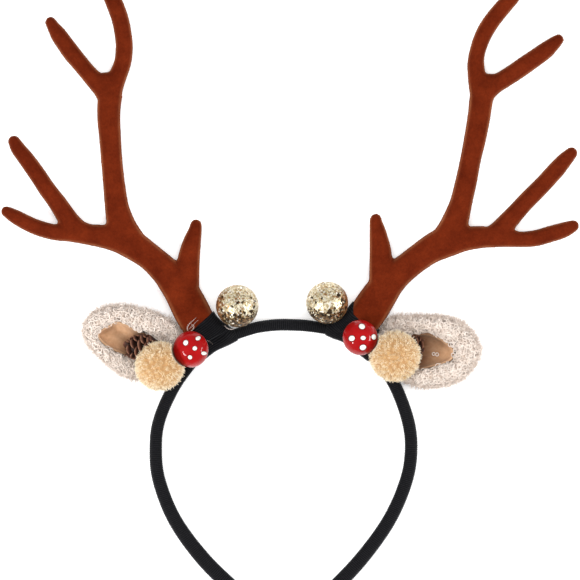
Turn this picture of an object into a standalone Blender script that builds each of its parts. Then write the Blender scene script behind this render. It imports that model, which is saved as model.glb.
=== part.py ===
"""Reindeer antler headband, lying on its back.

+X is the viewer's right, +Y runs up the antlers and +Z comes out of the front. The origin is under
the middle of the object, on the surface that it lies on. The tables draw the front view in units
of half a millimetre, u to the right and v down. Heights above the surface are in millimetres.
"""

import math

import bmesh
import bpy
import numpy as np
from mathutils.bvhtree import BVHTree

MM = 0.001
UNIT = 0.5 * MM  # one unit of the drawing
MIDDLE_U, MIDDLE_V = 290.07, 288.8  # the drawing's point that lies over the origin
GAP = 0.3 * MM  # clearance between pieces that touch

# Band: the middle of its edge from the left tip, over the crown, to the right tip.
BAND_DEPTH = 9.0 * MM  # front to back
BAND = [
    # u, v, thickness, height
    (241.0, 596.0, 14.6, 4.5),
    (204.3, 560.4, 14.4, 4.7),
    (174.9, 520.3, 13.4, 5.0),
    (158.9, 480.0, 12.6, 5.3),
    (155.7, 448.0, 12.1, 5.6),
    (159.2, 420.0, 12.0, 5.8),
    (173.0, 388.5, 12.0, 6.0),
    (189.5, 365.0, 11.6, 6.0),
    (203.5, 350.5, 10.2, 6.0),
    (221.0, 340.0, 10.2, 6.0),
    (250.5, 329.2, 11.0, 6.0),
    (264.0, 326.2, 11.3, 6.0),
    (277.5, 324.8, 11.4, 6.0),
    (290.5, 324.8, 11.4, 6.0),
    (308.0, 325.8, 11.3, 6.0),
    (331.4, 329.8, 10.6, 6.0),
    (348.0, 336.0, 10.2, 6.0),
    (366.0, 350.0, 10.6, 6.0),
    (383.0, 367.8, 12.0, 6.0),
    (396.0, 387.5, 12.0, 6.0),
    (407.9, 420.0, 12.3, 5.8),
    (411.2, 448.0, 12.3, 5.6),
    (406.5, 480.0, 12.7, 5.3),
    (389.3, 520.0, 13.2, 5.0),
    (360.5, 560.0, 13.8, 4.7),
    (325.5, 597.0, 14.2, 4.5),
]
CROWN_ROW = 12  # from this row to the next the inner face is one flat seat
BAND_SECTION = [
    # out, across: a flat inner face and a domed outer one
    (-1.00, -0.62), (-1.00, 0.62), (-0.70, 0.92), (-0.15, 1.00), (0.40, 0.93), (0.80, 0.68),
    (1.00, 0.24), (1.00, -0.24), (0.80, -0.68), (0.40, -0.93), (-0.15, -1.00), (-0.70, -0.92),
]
BAND_END = [(1.5, 0.93), (3.2, 0.74), (4.0, 0.50)]  # units past the tip, share of the section

# Antlers: the middle of each branch and its width, from its root to its tip. A last row is the
# centre of a round tip.
ANTLER_DEPTH = 5.5 * MM  # half the depth that the wide stretches flatten towards
ANTLER_BEND = [
    # v, height of the middle plane
    (-25.0, 2.7), (0.0, 4.0), (40.0, 4.5), (90.0, 5.3), (280.0, 6.4), (345.0, 7.0),
]
ANTLER_VOXEL = 1.1 * MM
ANTLER_TRIANGLES = 1600
ANTLER_LEFT = {
    # u, v, width
    "trunk": [
        (205.5, 337.5, 33.0), (199.0, 325.0, 34.5), (191.6, 311.0, 36.5), (181.0, 291.0, 34.5),
        (172.4, 278.8, 32.4), (164.6, 270.3, 29.4), (149.0, 256.2, 27.0), (128.0, 242.0, 30.0),
        (115.0, 238.0, 27.0), (100.0, 236.0, 22.5), (80.0, 233.6, 19.5), (68.0, 233.0, 17.0),
        (55.0, 232.3, 16.0), (45.0, 230.0, 15.7), (35.0, 226.7, 15.5), (25.0, 222.0, 15.0),
        (15.0, 216.5, 14.0), (6.5, 211.5, 11.0),
    ],
    "inner_tine": [
        (186.0, 292.0, 26.0), (187.0, 276.0, 24.5), (188.7, 260.0, 22.2), (190.3, 250.0, 20.2),
        (192.5, 240.0, 17.4), (195.0, 231.0, 13.8), (196.0, 225.0, 11.6),
    ],
    "outer_tine": [
        (92.0, 235.0, 20.0), (80.0, 231.0, 20.5), (73.0, 225.0, 20.0), (66.0, 216.0, 19.5),
        (57.5, 203.0, 18.0), (47.0, 189.0, 17.0), (37.5, 174.7, 16.7), (27.0, 160.0, 16.0),
        (18.0, 148.5, 14.5), (14.0, 141.3, 12.0),
    ],
    "beam": [
        (132.0, 244.0, 30.0), (123.0, 230.0, 30.0), (117.8, 212.0, 25.0), (115.9, 200.0, 23.0),
        (113.6, 180.0, 21.6), (111.7, 160.0, 21.2), (110.2, 140.0, 21.6), (108.8, 120.0, 22.8),
        (109.0, 105.0, 23.5), (110.5, 95.0, 24.0),
    ],
    "upper_tine": [
        (109.0, 100.0, 20.0), (103.0, 89.0, 20.0), (95.0, 80.5, 18.2), (86.5, 71.0, 16.8),
        (79.0, 62.0, 17.0), (72.0, 53.5, 17.5), (65.0, 44.0, 17.0), (58.0, 34.0, 16.0),
        (54.0, 28.0, 13.0), (50.5, 22.0, 11.0),
    ],
    "top_tine": [
        (110.0, 100.0, 22.0), (113.0, 88.0, 20.0), (118.0, 75.0, 18.0), (122.5, 63.0, 17.0),
        (124.1, 50.0, 17.1), (123.8, 40.0, 17.0), (120.3, 20.0, 17.0), (113.0, 0.0, 16.9),
        (108.0, -10.0, 15.2), (104.0, -17.0, 12.5), (101.5, -21.0, 10.0),
    ],
    "web": [(98.0, 81.0, 15.0), (105.5, 80.8, 17.0), (114.0, 79.5, 15.0)],
}
ANTLER_RIGHT = {
    "trunk": [
        (356.0, 332.5, 33.0), (362.5, 321.5, 34.5), (370.3, 309.4, 36.2), (379.7, 295.0, 34.7),
        (391.0, 280.0, 31.0), (407.5, 266.0, 27.0), (427.0, 251.5, 28.0), (440.0, 244.5, 30.5),
        (452.0, 241.5, 28.0), (465.0, 239.0, 24.0), (480.0, 237.2, 22.3), (495.0, 237.5, 19.5),
        (510.0, 238.5, 17.2), (520.0, 239.3, 15.7), (530.0, 239.0, 16.0), (540.0, 237.2, 16.3),
        (550.0, 234.2, 16.3), (560.0, 231.3, 16.0), (568.0, 228.3, 14.3), (573.0, 226.0, 12.0),
    ],
    "inner_tine": [
        (382.5, 290.0, 26.0), (381.7, 276.0, 25.0), (381.0, 262.0, 23.0), (380.4, 250.0, 21.4),
        (379.0, 240.0, 18.8), (377.5, 230.0, 15.8), (376.2, 224.0, 13.2), (375.7, 219.3, 11.6),
    ],
    "outer_tine": [
        (488.0, 238.0, 20.0), (498.0, 231.5, 20.0), (508.0, 221.3, 19.5), (516.6, 211.7, 18.0),
        (526.4, 201.0, 17.6), (536.4, 191.0, 17.5), (546.2, 180.8, 17.0), (556.2, 169.8, 17.0),
        (565.0, 159.8, 15.0), (571.5, 153.0, 12.0),
    ],
    "beam": [
        (443.0, 244.0, 30.0), (452.0, 230.0, 29.0), (458.6, 211.0, 24.0), (461.8, 200.0, 22.0),
        (466.5, 180.0, 21.4), (470.5, 160.0, 20.6), (474.8, 140.0, 21.8), (478.5, 120.0, 22.6),
        (480.2, 108.0, 23.0), (481.5, 98.0, 24.0),
    ],
    "upper_tine": [
        (481.0, 102.0, 20.0), (486.5, 91.5, 20.0), (495.0, 84.5, 18.5), (505.0, 78.4, 17.8),
        (515.0, 72.0, 18.0), (525.0, 65.0, 18.0), (534.8, 58.2, 17.5), (544.7, 51.1, 17.0),
        (553.3, 44.0, 14.0), (558.5, 39.5, 11.0),
    ],
    "top_tine": [
        (482.0, 103.0, 21.0), (479.8, 92.0, 20.0), (477.3, 80.0, 18.2), (476.3, 70.0, 17.3),
        (476.0, 60.0, 16.2), (478.0, 50.0, 15.8), (481.3, 40.0, 16.3), (486.0, 30.0, 16.7),
        (492.5, 20.0, 16.6), (500.5, 10.0, 16.4), (509.5, 0.0, 15.5), (516.0, -7.0, 14.0),
        (521.0, -12.5, 11.5), (524.0, -15.5, 10.0),
    ],
    "web": [(481.5, 81.5, 15.0), (490.0, 82.0, 17.0), (498.0, 80.5, 14.0)],
}

# Wraps: tape round the band between two of its points, and round the antler's foot from an edge
# that dips between its two sides.
TAPE = 1.3 * MM  # from the wrapped piece to the tape's outside
WRAP_VOXEL = 0.9 * MM
WRAP_TRIANGLES = 340
WRAP_LEFT = {
    "band_from": (196.5, 361.0),
    "band_to": (256.0, 328.0),
    # across the foot, the edge's distance along it
    "edge": [(-20.0, 8.5), (0.0, 10.0), (20.0, 9.0)],
    # along the foot, reach to its left, reach to its right
    "reach": [(0.0, 19.0, 19.5), (15.0, 19.0, 20.0), (24.0, 19.0, 22.5), (34.0, 17.0, 28.0)],
}
WRAP_RIGHT = {
    "band_from": (320.0, 327.6),
    "band_to": (373.0, 357.0),
    "edge": [(-20.0, 2.0), (-13.0, 5.5), (-4.0, 15.0), (8.0, 16.0), (18.0, 12.0), (20.0, 8.5)],
    "reach": [(0.0, 19.2, 19.0), (12.0, 20.3, 19.0), (22.0, 22.5, 19.0), (34.0, 28.0, 17.0)],
}

# Ears: round each ear, where the fleece's outline and the opening's edge lie, and the rim's height.
EAR_FLOOR = 5.0 * MM  # the cup's floor above the surface
EAR_LIFT = 0.3 * MM
EAR_AROUND = 26
LINING = 1.0 * MM
EAR_LEFT = {
    "spine": [(111.0, 336.0), (154.0, 350.0)],
    # outline u, outline v, opening u, opening v, rim height
    "rows": [
        (84.3, 331.0, 98.6, 333.8, 18.0), (87.5, 320.0, 103.0, 329.5, 19.0),
        (97.0, 311.0, 110.0, 325.7, 20.0), (110.5, 305.5, 117.5, 321.8, 20.5),
        (125.0, 304.0, 127.0, 324.0, 20.0), (138.0, 306.0, 136.0, 329.4, 18.5),
        (150.0, 309.5, 146.0, 334.0, 16.5), (162.0, 314.5, 155.0, 340.0, 14.0),
        (173.0, 321.0, 162.0, 344.5, 11.5), (181.0, 332.0, 166.0, 349.5, 9.5),
        (181.0, 346.0, 165.0, 354.5, 9.0), (168.0, 361.0, 158.0, 359.5, 9.0),
        (152.0, 372.5, 147.0, 361.5, 9.5), (138.0, 378.8, 136.5, 358.2, 12.0),
        (125.0, 376.5, 127.0, 354.0, 15.0), (112.5, 367.5, 117.0, 350.3, 17.0),
        (101.0, 356.5, 108.5, 345.5, 18.0), (89.0, 344.5, 102.0, 339.8, 18.0),
    ],
}
EAR_RIGHT = {
    "spine": [(441.0, 351.0), (407.0, 351.0)],
    "rows": [
        (479.7, 352.0, 452.0, 351.5, 18.0), (476.0, 339.0, 449.5, 346.5, 18.5),
        (468.0, 328.0, 446.0, 342.0, 19.0), (456.0, 320.0, 441.5, 338.8, 19.5),
        (444.0, 317.3, 436.0, 336.0, 20.0), (431.0, 316.4, 428.0, 332.5, 19.5),
        (417.0, 316.3, 420.0, 332.8, 17.5), (403.0, 316.2, 411.5, 335.0, 15.0),
        (391.0, 317.5, 404.0, 338.5, 12.0), (382.0, 327.0, 398.0, 344.0, 10.0),
        (379.0, 341.0, 396.0, 351.0, 9.5), (384.0, 357.0, 399.0, 359.0, 9.5),
        (394.0, 372.0, 406.0, 365.0, 10.0), (408.0, 382.3, 413.5, 368.3, 12.5),
        (421.0, 386.3, 421.0, 369.3, 15.5), (435.0, 386.6, 431.0, 367.0, 17.0),
        (450.0, 383.4, 440.0, 362.3, 18.0), (466.0, 375.0, 447.5, 357.0, 18.0),
    ],
}
# The fleece's section: from the underside's middle, out and over the rim, down to the cup's floor.
# Reach 0 is the ear's spine, 1 the opening's edge and 2 the outline.
FLEECE_OUTSIDE = [
    # reach, share of the rim's height
    (0.45, 0.00), (1.25, 0.00), (1.66, 0.04), (1.90, 0.22), (2.00, 0.48), (1.93, 0.74),
    (1.72, 0.93), (1.42, 1.00), (1.16, 0.95), (1.00, 0.83),
]
FLEECE_INSIDE = [
    # reach, share of the way from the floor up to the rim
    (1.02, 0.60), (1.04, 0.42), (0.95, 0.20), (0.72, 0.05), (0.45, 0.00),
]

# Round trims: centre, radius and, where the trim isn't seated by its shape, its height.
BALL = [
    # side, u, v, radius
    ("left", 237.4, 306.0, 21.4),
    ("right", 327.0, 302.6, 21.2),
]
POMPOM = [
    # side, u, v, radius, height
    ("left", 159.6, 365.2, 26.0, 17.5),
    ("right", 396.0, 356.6, 26.6, 17.5),
]
POMPOM_TUFTS = 90
TUFT_RELIEF = 0.7 * MM
POMPOM_VOXEL = 0.7 * MM
POMPOM_TRIANGLES = 600
MUSHROOM = [
    # side, u, v, radius, height of the rim's middle, lean outwards, lean down (degrees)
    ("left", 191.0, 349.0, 18.2, 18.0, 14.0, 2.0),
    ("right", 360.0, 337.2, 17.7, 18.0, 10.0, -4.0),
]
CAP_PROFILE = [
    # radius, height, as shares of the cap's radius: top, dome, rim, hollow underside
    (0.00, 0.80), (0.30, 0.77), (0.57, 0.66), (0.79, 0.48), (0.93, 0.25), (1.00, 0.02),
    (0.97, -0.09), (0.86, -0.12), (0.50, -0.02), (0.00, 0.00),
]
STEM_RADIUS = 3.2 * MM
STEM_LENGTH = 9.0 * MM
CONE = [
    # side, tip u, tip v, base u, base v, radius, tip's height above the base's
    ("left", 123.5, 350.0, 157.0, 347.0, 10.2, 2.5),
    ("right", 423.0, 349.0, 401.0, 351.5, 9.0, 0.5),
]
CONE_PROFILE = [
    # share of the length from tip to base, share of the radius
    (0.00, 0.12), (0.06, 0.45), (0.16, 0.68), (0.28, 0.84), (0.40, 0.95), (0.53, 1.00),
    (0.66, 0.98), (0.78, 0.88), (0.89, 0.70), (0.97, 0.42), (1.00, 0.15),
]
CONE_SCALES = 8  # round the cone
CONE_RELIEF = 0.13

COLOURS = {
    # red, green, blue (linear), roughness, metallic
    "band": (0.012, 0.013, 0.016, 0.90, 0.0),
    "wrap": (0.010, 0.011, 0.014, 0.85, 0.0),
    "antler": (0.17, 0.022, 0.007, 0.95, 0.0),
    "ear_fleece": (0.72, 0.60, 0.54, 1.00, 0.0),
    "ear_lining": (0.42, 0.22, 0.12, 0.95, 0.0),
    "pompom": (0.75, 0.47, 0.24, 1.00, 0.0),
    "glitter_ball": (0.62, 0.52, 0.30, 0.35, 0.8),
    "mushroom_cap": (0.55, 0.004, 0.006, 0.12, 0.0),
    "mushroom_stem": (0.70, 0.62, 0.50, 0.70, 0.0),
    "pine_cone": (0.10, 0.035, 0.020, 0.80, 0.0),
}


def clear_scene():
    for thing in list(bpy.data.objects):
        bpy.data.objects.remove(thing, do_unlink=True)
    for group in ("reindeer_antler_headband", "cutters"):
        collection = bpy.data.collections.new(group)
        bpy.context.scene.collection.children.link(collection)


def place(u, v, height=0.0):
    """A point of the drawing in metres, at a height in millimetres."""
    return np.array([(u - MIDDLE_U) * UNIT, (MIDDLE_V - v) * UNIT, height * MM])


def smooth_rows(rows, steps, closed=False):
    """Rows read from a Catmull-Rom curve through the given ones, `steps` to a span."""
    rows = np.array(rows, float)
    if closed:
        padded = np.vstack([rows[-1], rows, rows[:2]])
    else:
        padded = np.vstack([2 * rows[0] - rows[1], rows, 2 * rows[-1] - rows[-2]])
    a, b, c, d = (padded[i:len(padded) - 3 + i, None, :] for i in range(4))
    t = (np.arange(steps) / steps)[None, :, None]
    spans = 0.5 * (2 * b + (c - a) * t + (2 * a - 5 * b + 4 * c - d) * t**2
                   + (3 * b - a - 3 * c + d) * t**3)
    read = spans.reshape(-1, rows.shape[1])
    return read if closed else np.vstack([read, rows[-1]])


def add_object(name, mesh, group="reindeer_antler_headband"):
    thing = bpy.data.objects.new(name, mesh)
    bpy.data.collections[group].objects.link(thing)
    if group == "cutters":
        thing.hide_render = True
        thing.display_type = "WIRE"
    return thing


def paint(thing, kind):
    red, green, blue, roughness, metallic = COLOURS[kind]
    material = bpy.data.materials.new(thing.name)
    material.use_nodes = True
    shader = material.node_tree.nodes["Principled BSDF"]
    shader.inputs["Base Color"].default_value = (red, green, blue, 1.0)
    shader.inputs["Roughness"].default_value = roughness
    shader.inputs["Metallic"].default_value = metallic
    thing.data.materials.clear()
    thing.data.materials.append(material)
    thing.data.shade_smooth()
    thing.data.set_sharp_from_angle(angle=math.radians(50))


def bake(thing):
    """Applies the object's modifiers."""
    graph = bpy.context.evaluated_depsgraph_get()
    mesh = bpy.data.meshes.new_from_object(thing.evaluated_get(graph))
    thing.modifiers.clear()
    thing.data = mesh
    return thing


def loft(name, rings, group="reindeer_antler_headband"):
    """A closed body through rings of equally many points, with a face on each end."""
    work = bmesh.new()
    layers = [[work.verts.new(point) for point in ring] for ring in rings]
    around = len(layers[0])
    for low, high in zip(layers, layers[1:]):
        for i in range(around):
            j = (i + 1) % around
            work.faces.new((low[i], low[j], high[j], high[i]))
    work.faces.new(layers[0][::-1])
    work.faces.new(layers[-1])
    bmesh.ops.recalc_face_normals(work, faces=work.faces)
    mesh = bpy.data.meshes.new(name)
    work.to_mesh(mesh)
    work.free()
    return add_object(name, mesh, group)


def points_of(thing):
    flat = np.empty(len(thing.data.vertices) * 3)
    thing.data.vertices.foreach_get("co", flat)
    return flat.reshape(-1, 3)


def set_points(thing, points):
    thing.data.vertices.foreach_set("co", np.ascontiguousarray(points).ravel())
    thing.data.update()


def decimate(thing, triangles):
    work = bmesh.new()
    work.from_mesh(thing.data)
    bmesh.ops.triangulate(work, faces=work.faces)
    work.to_mesh(thing.data)
    count = len(work.faces)
    work.free()
    reduce = thing.modifiers.new("decimate", "DECIMATE")
    reduce.ratio = triangles / count
    reduce.use_collapse_triangulate = True
    return bake(thing)


def soften(thing, voxel, passes):
    """Fuses the object's overlapping shapes into one skin and rounds where they meet."""
    remesh = thing.modifiers.new("fuse", "REMESH")
    remesh.mode = "VOXEL"
    remesh.voxel_size = voxel
    relax = thing.modifiers.new("relax", "SMOOTH")
    relax.factor = 0.5
    relax.iterations = passes
    return bake(thing)


def grown(thing, by=GAP):
    """A cutter: a copy of the object, larger by the clearance."""
    copy = add_object(thing.name + "_cutter", thing.data.copy(), "cutters")
    copy.matrix_world = thing.matrix_world.copy()
    swell = copy.modifiers.new("swell", "DISPLACE")
    swell.strength = by
    swell.mid_level = 0.0
    return bake(copy)


def combine(thing, other, operation="DIFFERENCE"):
    boolean = thing.modifiers.new(operation.lower(), "BOOLEAN")
    boolean.operation = operation
    boolean.solver = "EXACT"
    boolean.object = other
    return bake(thing)


def keep_front(thing):
    """Keeps the frontmost of the bodies that a cut has left."""
    work = bmesh.new()
    work.from_mesh(thing.data)
    front = {max(work.verts, key=lambda corner: corner.co.z)}
    fresh = list(front)
    while fresh:
        corner = fresh.pop()
        for edge in corner.link_edges:
            other = edge.other_vert(corner)
            if other not in front:
                front.add(other)
                fresh.append(other)
    lost = [corner for corner in work.verts if corner not in front]
    bmesh.ops.delete(work, geom=lost, context="VERTS")
    work.to_mesh(thing.data)
    work.free()


def mesh_lists(thing):
    return (
        [vertex.co.copy() for vertex in thing.data.vertices],
        [tuple(face.vertices) for face in thing.data.polygons],
    )


def seat(thing, others, drop):
    """Lowers the object onto others from a clear height, until the clearance is left."""
    trees = [BVHTree.FromPolygons(*mesh_lists(other)) for other in others]
    start = points_of(thing)

    def spare(down):
        low = start - (0.0, 0.0, down)
        near = min(tree.find_nearest(point)[3] for tree in trees for point in low)
        return near - GAP

    step = 0.2 * MM
    down = 0.0
    while spare(down + step) > 0.0 and down < drop:
        down += step
    for _ in range(6):
        step /= 2
        if spare(down + step) > 0.0:
            down += step
    set_points(thing, start - (0.0, 0.0, down))
    return down


def band_path():
    """The band's middle as rows of x, y, z and half thickness, with the arc length to each row."""
    rows = smooth_rows(BAND, 12)
    path = np.column_stack([
        (rows[:, 0] - MIDDLE_U) * UNIT, (MIDDLE_V - rows[:, 1]) * UNIT,
        rows[:, 3] * MM, rows[:, 2] * UNIT / 2,
    ])
    steps = np.linalg.norm(np.diff(path[:, :2], axis=0), axis=1)
    return path, np.concatenate([[0.0], np.cumsum(steps)])


def band_rings(lengths, extra=0.0, shares=None):
    """The band's section at each arc length, thickened on all sides by `extra`."""
    path, along = band_path()
    middle = np.column_stack([np.interp(lengths, along, path[:, i]) for i in range(4)])
    within = np.clip(lengths, along[0] + MM, along[-1] - MM)
    ahead = np.column_stack([np.interp(within + MM, along, path[:, i]) for i in range(2)])
    behind = np.column_stack([np.interp(within - MM, along, path[:, i]) for i in range(2)])
    way = (ahead - behind) / np.linalg.norm(ahead - behind, axis=1)[:, None]
    outward = np.column_stack([-way[:, 1], way[:, 0]])
    shares = np.ones(len(lengths)) if shares is None else np.array(shares)
    overrun = lengths - np.clip(lengths, along[0], along[-1])
    middle[:, :2] += way * overrun[:, None]
    section = np.array(BAND_SECTION)
    half = (middle[:, 3] * shares + extra)[:, None]
    across = (BAND_DEPTH / 2 * shares + extra)[:, None]
    radial = section[None, :, 0] * half
    return np.stack([
        middle[:, None, 0] + outward[:, None, 0] * radial,
        middle[:, None, 1] + outward[:, None, 1] * radial,
        middle[:, None, 2] + section[None, :, 1] * across,
    ], axis=2)


def band_length_at(u, v):
    path, along = band_path()
    return along[np.argmin(np.linalg.norm(path[:, :2] - place(u, v)[:2], axis=1))]


def make_band():
    along = band_path()[1]
    # Two stations to a row of the table, and the rounded ends past the first and the last.
    lengths = np.delete(along[::6], 2 * CROWN_ROW + 1)
    ends = np.array(BAND_END) * (UNIT, 1.0)
    shares = np.concatenate([ends[::-1, 1], np.ones(len(lengths)), ends[:, 1]])
    lengths = np.concatenate([lengths[0] - ends[::-1, 0], lengths, lengths[-1] + ends[:, 0]])
    band = loft("band", band_rings(lengths, shares=shares))
    paint(band, "band")
    return band


def branch_curve(name, branches):
    """Every branch as a tapered tube with a round tip."""
    curve = bpy.data.curves.new(name, "CURVE")
    curve.dimensions = "3D"
    curve.bevel_depth = 1.0
    curve.bevel_resolution = 4
    curve.use_fill_caps = True
    for branch, rows in branches.items():
        path = smooth_rows(rows, 3)
        if branch not in ("beam", "web"):
            heading = path[-1, :2] - path[-2, :2]
            heading = heading / np.linalg.norm(heading)
            turn = np.radians([30.0, 55.0, 75.0])
            radius = path[-1, 2] / 2
            tip = np.column_stack([
                path[-1, :2] + heading * radius * np.sin(turn)[:, None], 2 * radius * np.cos(turn),
            ])
            path = np.vstack([path, tip])
        spline = curve.splines.new("POLY")
        spline.points.add(len(path) - 1)
        for point, (u, v, width) in zip(spline.points, path):
            point.co = (*place(u, v), 1.0)
            point.radius = width / 2 * UNIT
    return curve


def make_antler(side, branches):
    name = "antler_" + side
    guide = bpy.data.objects.new(name + "_guide", branch_curve(name, branches))
    bpy.data.collections["cutters"].objects.link(guide)
    graph = bpy.context.evaluated_depsgraph_get()
    mesh = bpy.data.meshes.new_from_object(guide.evaluated_get(graph))
    bpy.data.objects.remove(guide, do_unlink=True)
    antler = soften(add_object(name, mesh), ANTLER_VOXEL, 5)
    points = points_of(antler)
    # Wide stretches are flattened, and the branches bend back until the tips lie down.
    share = np.abs(points[:, 2]) / ANTLER_DEPTH
    bend = np.array(ANTLER_BEND)
    drawn_v = MIDDLE_V - points[:, 1] / UNIT
    points[:, 2] = points[:, 2] / (1 + share**4) ** 0.25
    points[:, 2] += np.interp(drawn_v, bend[:, 0], bend[:, 1]) * MM
    points[:, 2] -= points[:, 2].min()
    set_points(antler, points)
    decimate(antler, ANTLER_TRIANGLES)
    points = points_of(antler)
    points[:, 2] -= points[:, 2].min()
    set_points(antler, points)
    paint(antler, "antler")
    return antler


def make_wrap(side, sizes, branches, band, antler):
    """Tape wound round the band and round the antler's foot, fused and rounded."""
    name = "wrap_" + side
    start, end = (band_length_at(*sizes[key]) for key in ("band_from", "band_to"))
    lengths = np.linspace(start, end, 9)
    wrap = loft(name, band_rings(lengths, extra=TAPE))

    rows = np.array(branches["trunk"])
    foot, knee = rows[0], rows[2]
    down = (foot - knee)[:2] / np.linalg.norm((foot - knee)[:2])
    across = np.array([-down[1], down[0]]) if down[0] < 0 else np.array([down[1], -down[0]])
    if across[0] < 0:
        across = -across
    edge, reach = np.array(sizes["edge"]), np.array(sizes["reach"])
    turn = np.linspace(0, 2 * math.pi, 28, endpoint=False)
    side_share = np.sign(np.cos(turn)) * np.abs(np.cos(turn)) ** 0.8
    deep_share = np.sign(np.sin(turn)) * np.abs(np.sin(turn)) ** 0.8
    depth = (ANTLER_DEPTH + TAPE - 0.3 * MM)
    base = reach[-1, 0]
    rings = []
    for share in np.linspace(0.0, 1.0, 7):
        first = np.interp(side_share * 19.0, edge[:, 0], edge[:, 1])
        t = first + (base - first) * share
        left = np.interp(t, reach[:, 0], reach[:, 1])
        right = np.interp(t, reach[:, 0], reach[:, 2])
        lateral = np.where(side_share < 0, left, right) * side_share
        u = knee[0] + down[0] * t + across[0] * lateral
        v = knee[1] + down[1] * t + across[1] * lateral
        rings.append([
            place(a, b) + (0.0, 0.0, 6.9 * MM + depth * c) for a, b, c in zip(u, v, deep_share)
        ])
    combine(wrap, loft(name + "_foot", rings, "cutters"), "UNION")
    soften(wrap, WRAP_VOXEL, 3)
    decimate(wrap, WRAP_TRIANGLES)
    points = points_of(wrap)
    points[:, 2] = np.maximum(points[:, 2], 0.15 * MM)
    set_points(wrap, points)
    combine(wrap, grown(antler))
    combine(wrap, loft(name + "_bore", band_rings(np.linspace(start - 4 * MM, end + 4 * MM, 13),
                                                  extra=GAP), "cutters"))
    paint(wrap, "wrap")
    return wrap


def ear_stations(ear):
    """Round the ear: the spine's nearest point, the opening's edge, the outline and the rim."""
    rows = smooth_rows(ear["rows"], 8, closed=True)
    rows = rows[np.linspace(0, len(rows), EAR_AROUND, endpoint=False).astype(int)]
    ends = np.array(ear["spine"])
    way = ends[1] - ends[0]
    opening = rows[:, 2:4]
    share = np.clip((opening - ends[0]) @ way / (way @ way), 0.0, 1.0)
    return ends[0] + share[:, None] * way, opening, rows[:, :2], rows[:, 4] * MM


def ear_ring(ear, reach, height, inset=0.0):
    """A ring round the ear at a reach, moved towards the spine by `inset`."""
    spine, opening, outline, _ = ear_stations(ear)
    if reach <= 1.0:
        drawn = spine + (opening - spine) * reach
    else:
        drawn = opening + (outline - opening) * (reach - 1.0)
    inward = spine - drawn
    drawn = drawn + inward / np.linalg.norm(inward, axis=1)[:, None] * (inset / UNIT)
    return np.column_stack([
        (drawn[:, 0] - MIDDLE_U) * UNIT, (MIDDLE_V - drawn[:, 1]) * UNIT, height,
    ])


def make_ear(side, ear, neighbours):
    rim = ear_stations(ear)[3]
    inside = [(reach, EAR_FLOOR + (rim - EAR_FLOOR) * share) for reach, share in FLEECE_INSIDE]
    outer = [
        ear_ring(ear, reach, EAR_LIFT + (rim - EAR_LIFT) * share) for reach, share in FLEECE_OUTSIDE
    ]
    near, far = GAP, GAP + LINING
    inner = [
        ear_ring(ear, reach, height + (near if i == 0 else far), far)
        for i, (reach, height) in enumerate(inside)
    ]
    fleece = loft("ear_fleece_" + side,
                  outer + [ear_ring(ear, reach, height) for reach, height in inside])
    lining = loft("ear_lining_" + side, [
        ear_ring(ear, reach, height + near, near) for reach, height in inside[::-1]
    ] + inner)
    # The ear with its hollow filled level with the opening's edge, for what lies on it.
    lid = [ear_ring(ear, share, rim * FLEECE_OUTSIDE[-1][1]) for share in (0.75, 0.45)]
    filled = grown(loft("ear_filled_" + side, outer + lid, "cutters"), 2 * GAP)
    for neighbour in neighbours:
        combine(fleece, neighbour)
    paint(fleece, "ear_fleece")
    paint(lining, "ear_lining")
    return fleece, lining, filled


def make_ball(side, u, v, radius, seats):
    work = bmesh.new()
    bmesh.ops.create_uvsphere(work, u_segments=18, v_segments=11, radius=radius * UNIT)
    mesh = bpy.data.meshes.new("glitter_ball_" + side)
    work.to_mesh(mesh)
    work.free()
    ball = add_object(mesh.name, mesh)
    set_points(ball, points_of(ball) + place(u, v, 26.0))
    seat(ball, seats, 20 * MM)
    paint(ball, "glitter_ball")
    return ball


def make_cap(side, u, v, radius, height, lean_out, lean_down):
    """A mushroom's cap and stem, turned about one axis that leans outwards."""
    name = "mushroom_cap_" + side
    work = bmesh.new()
    profile = np.array(CAP_PROFILE) * radius * UNIT
    corners = [work.verts.new((across, 0.0, up)) for across, up in profile]
    for first, second in zip(corners, corners[1:]):
        work.edges.new((first, second))
    mesh = bpy.data.meshes.new(name)
    work.to_mesh(mesh)
    work.free()
    cap = add_object(name, mesh)
    screw = cap.modifiers.new("turn", "SCREW")
    screw.steps = screw.render_steps = 20
    screw.use_merge_vertices = True
    screw.merge_threshold = 0.00001
    bake(cap)

    work = bmesh.new()
    bmesh.ops.create_cone(work, cap_ends=True, segments=14, radius1=STEM_RADIUS,
                          radius2=STEM_RADIUS, depth=STEM_LENGTH)
    mesh = bpy.data.meshes.new("mushroom_stem_" + side)
    work.to_mesh(mesh)
    work.free()
    stem = add_object(mesh.name, mesh)
    # The stem's top stays a clearance under the cap's hollow underside.
    top = -0.02 * radius * UNIT - GAP
    set_points(stem, points_of(stem) + (0.0, 0.0, top - STEM_LENGTH / 2))

    out = math.radians(lean_out) * (-1 if side == "left" else 1)
    down = math.radians(lean_down)
    turn = np.array([
        [math.cos(out), 0.0, math.sin(out)], [0.0, 1.0, 0.0], [-math.sin(out), 0.0, math.cos(out)],
    ]) @ np.array([
        [1.0, 0.0, 0.0], [0.0, math.cos(down), -math.sin(down)],
        [0.0, math.sin(down), math.cos(down)],
    ])
    for thing in (cap, stem):
        set_points(thing, points_of(thing) @ turn.T + place(u, v, height))
    paint(cap, "mushroom_cap")
    paint(stem, "mushroom_stem")
    return cap, stem


def over_cap(side, u, v, radius, height, *_):
    """A cutter: the way up from a mushroom's rim, which no yarn hangs over."""
    turn = np.linspace(0, 2 * math.pi, 24, endpoint=False)
    reach = radius + 2 * GAP / UNIT
    circle = (u + reach * np.cos(turn), v - reach * np.sin(turn))
    return loft("mushroom_clear_" + side, [
        [place(a, b, level) for a, b in zip(*circle)] for level in (height, height + 20.0)
    ], "cutters")


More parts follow.
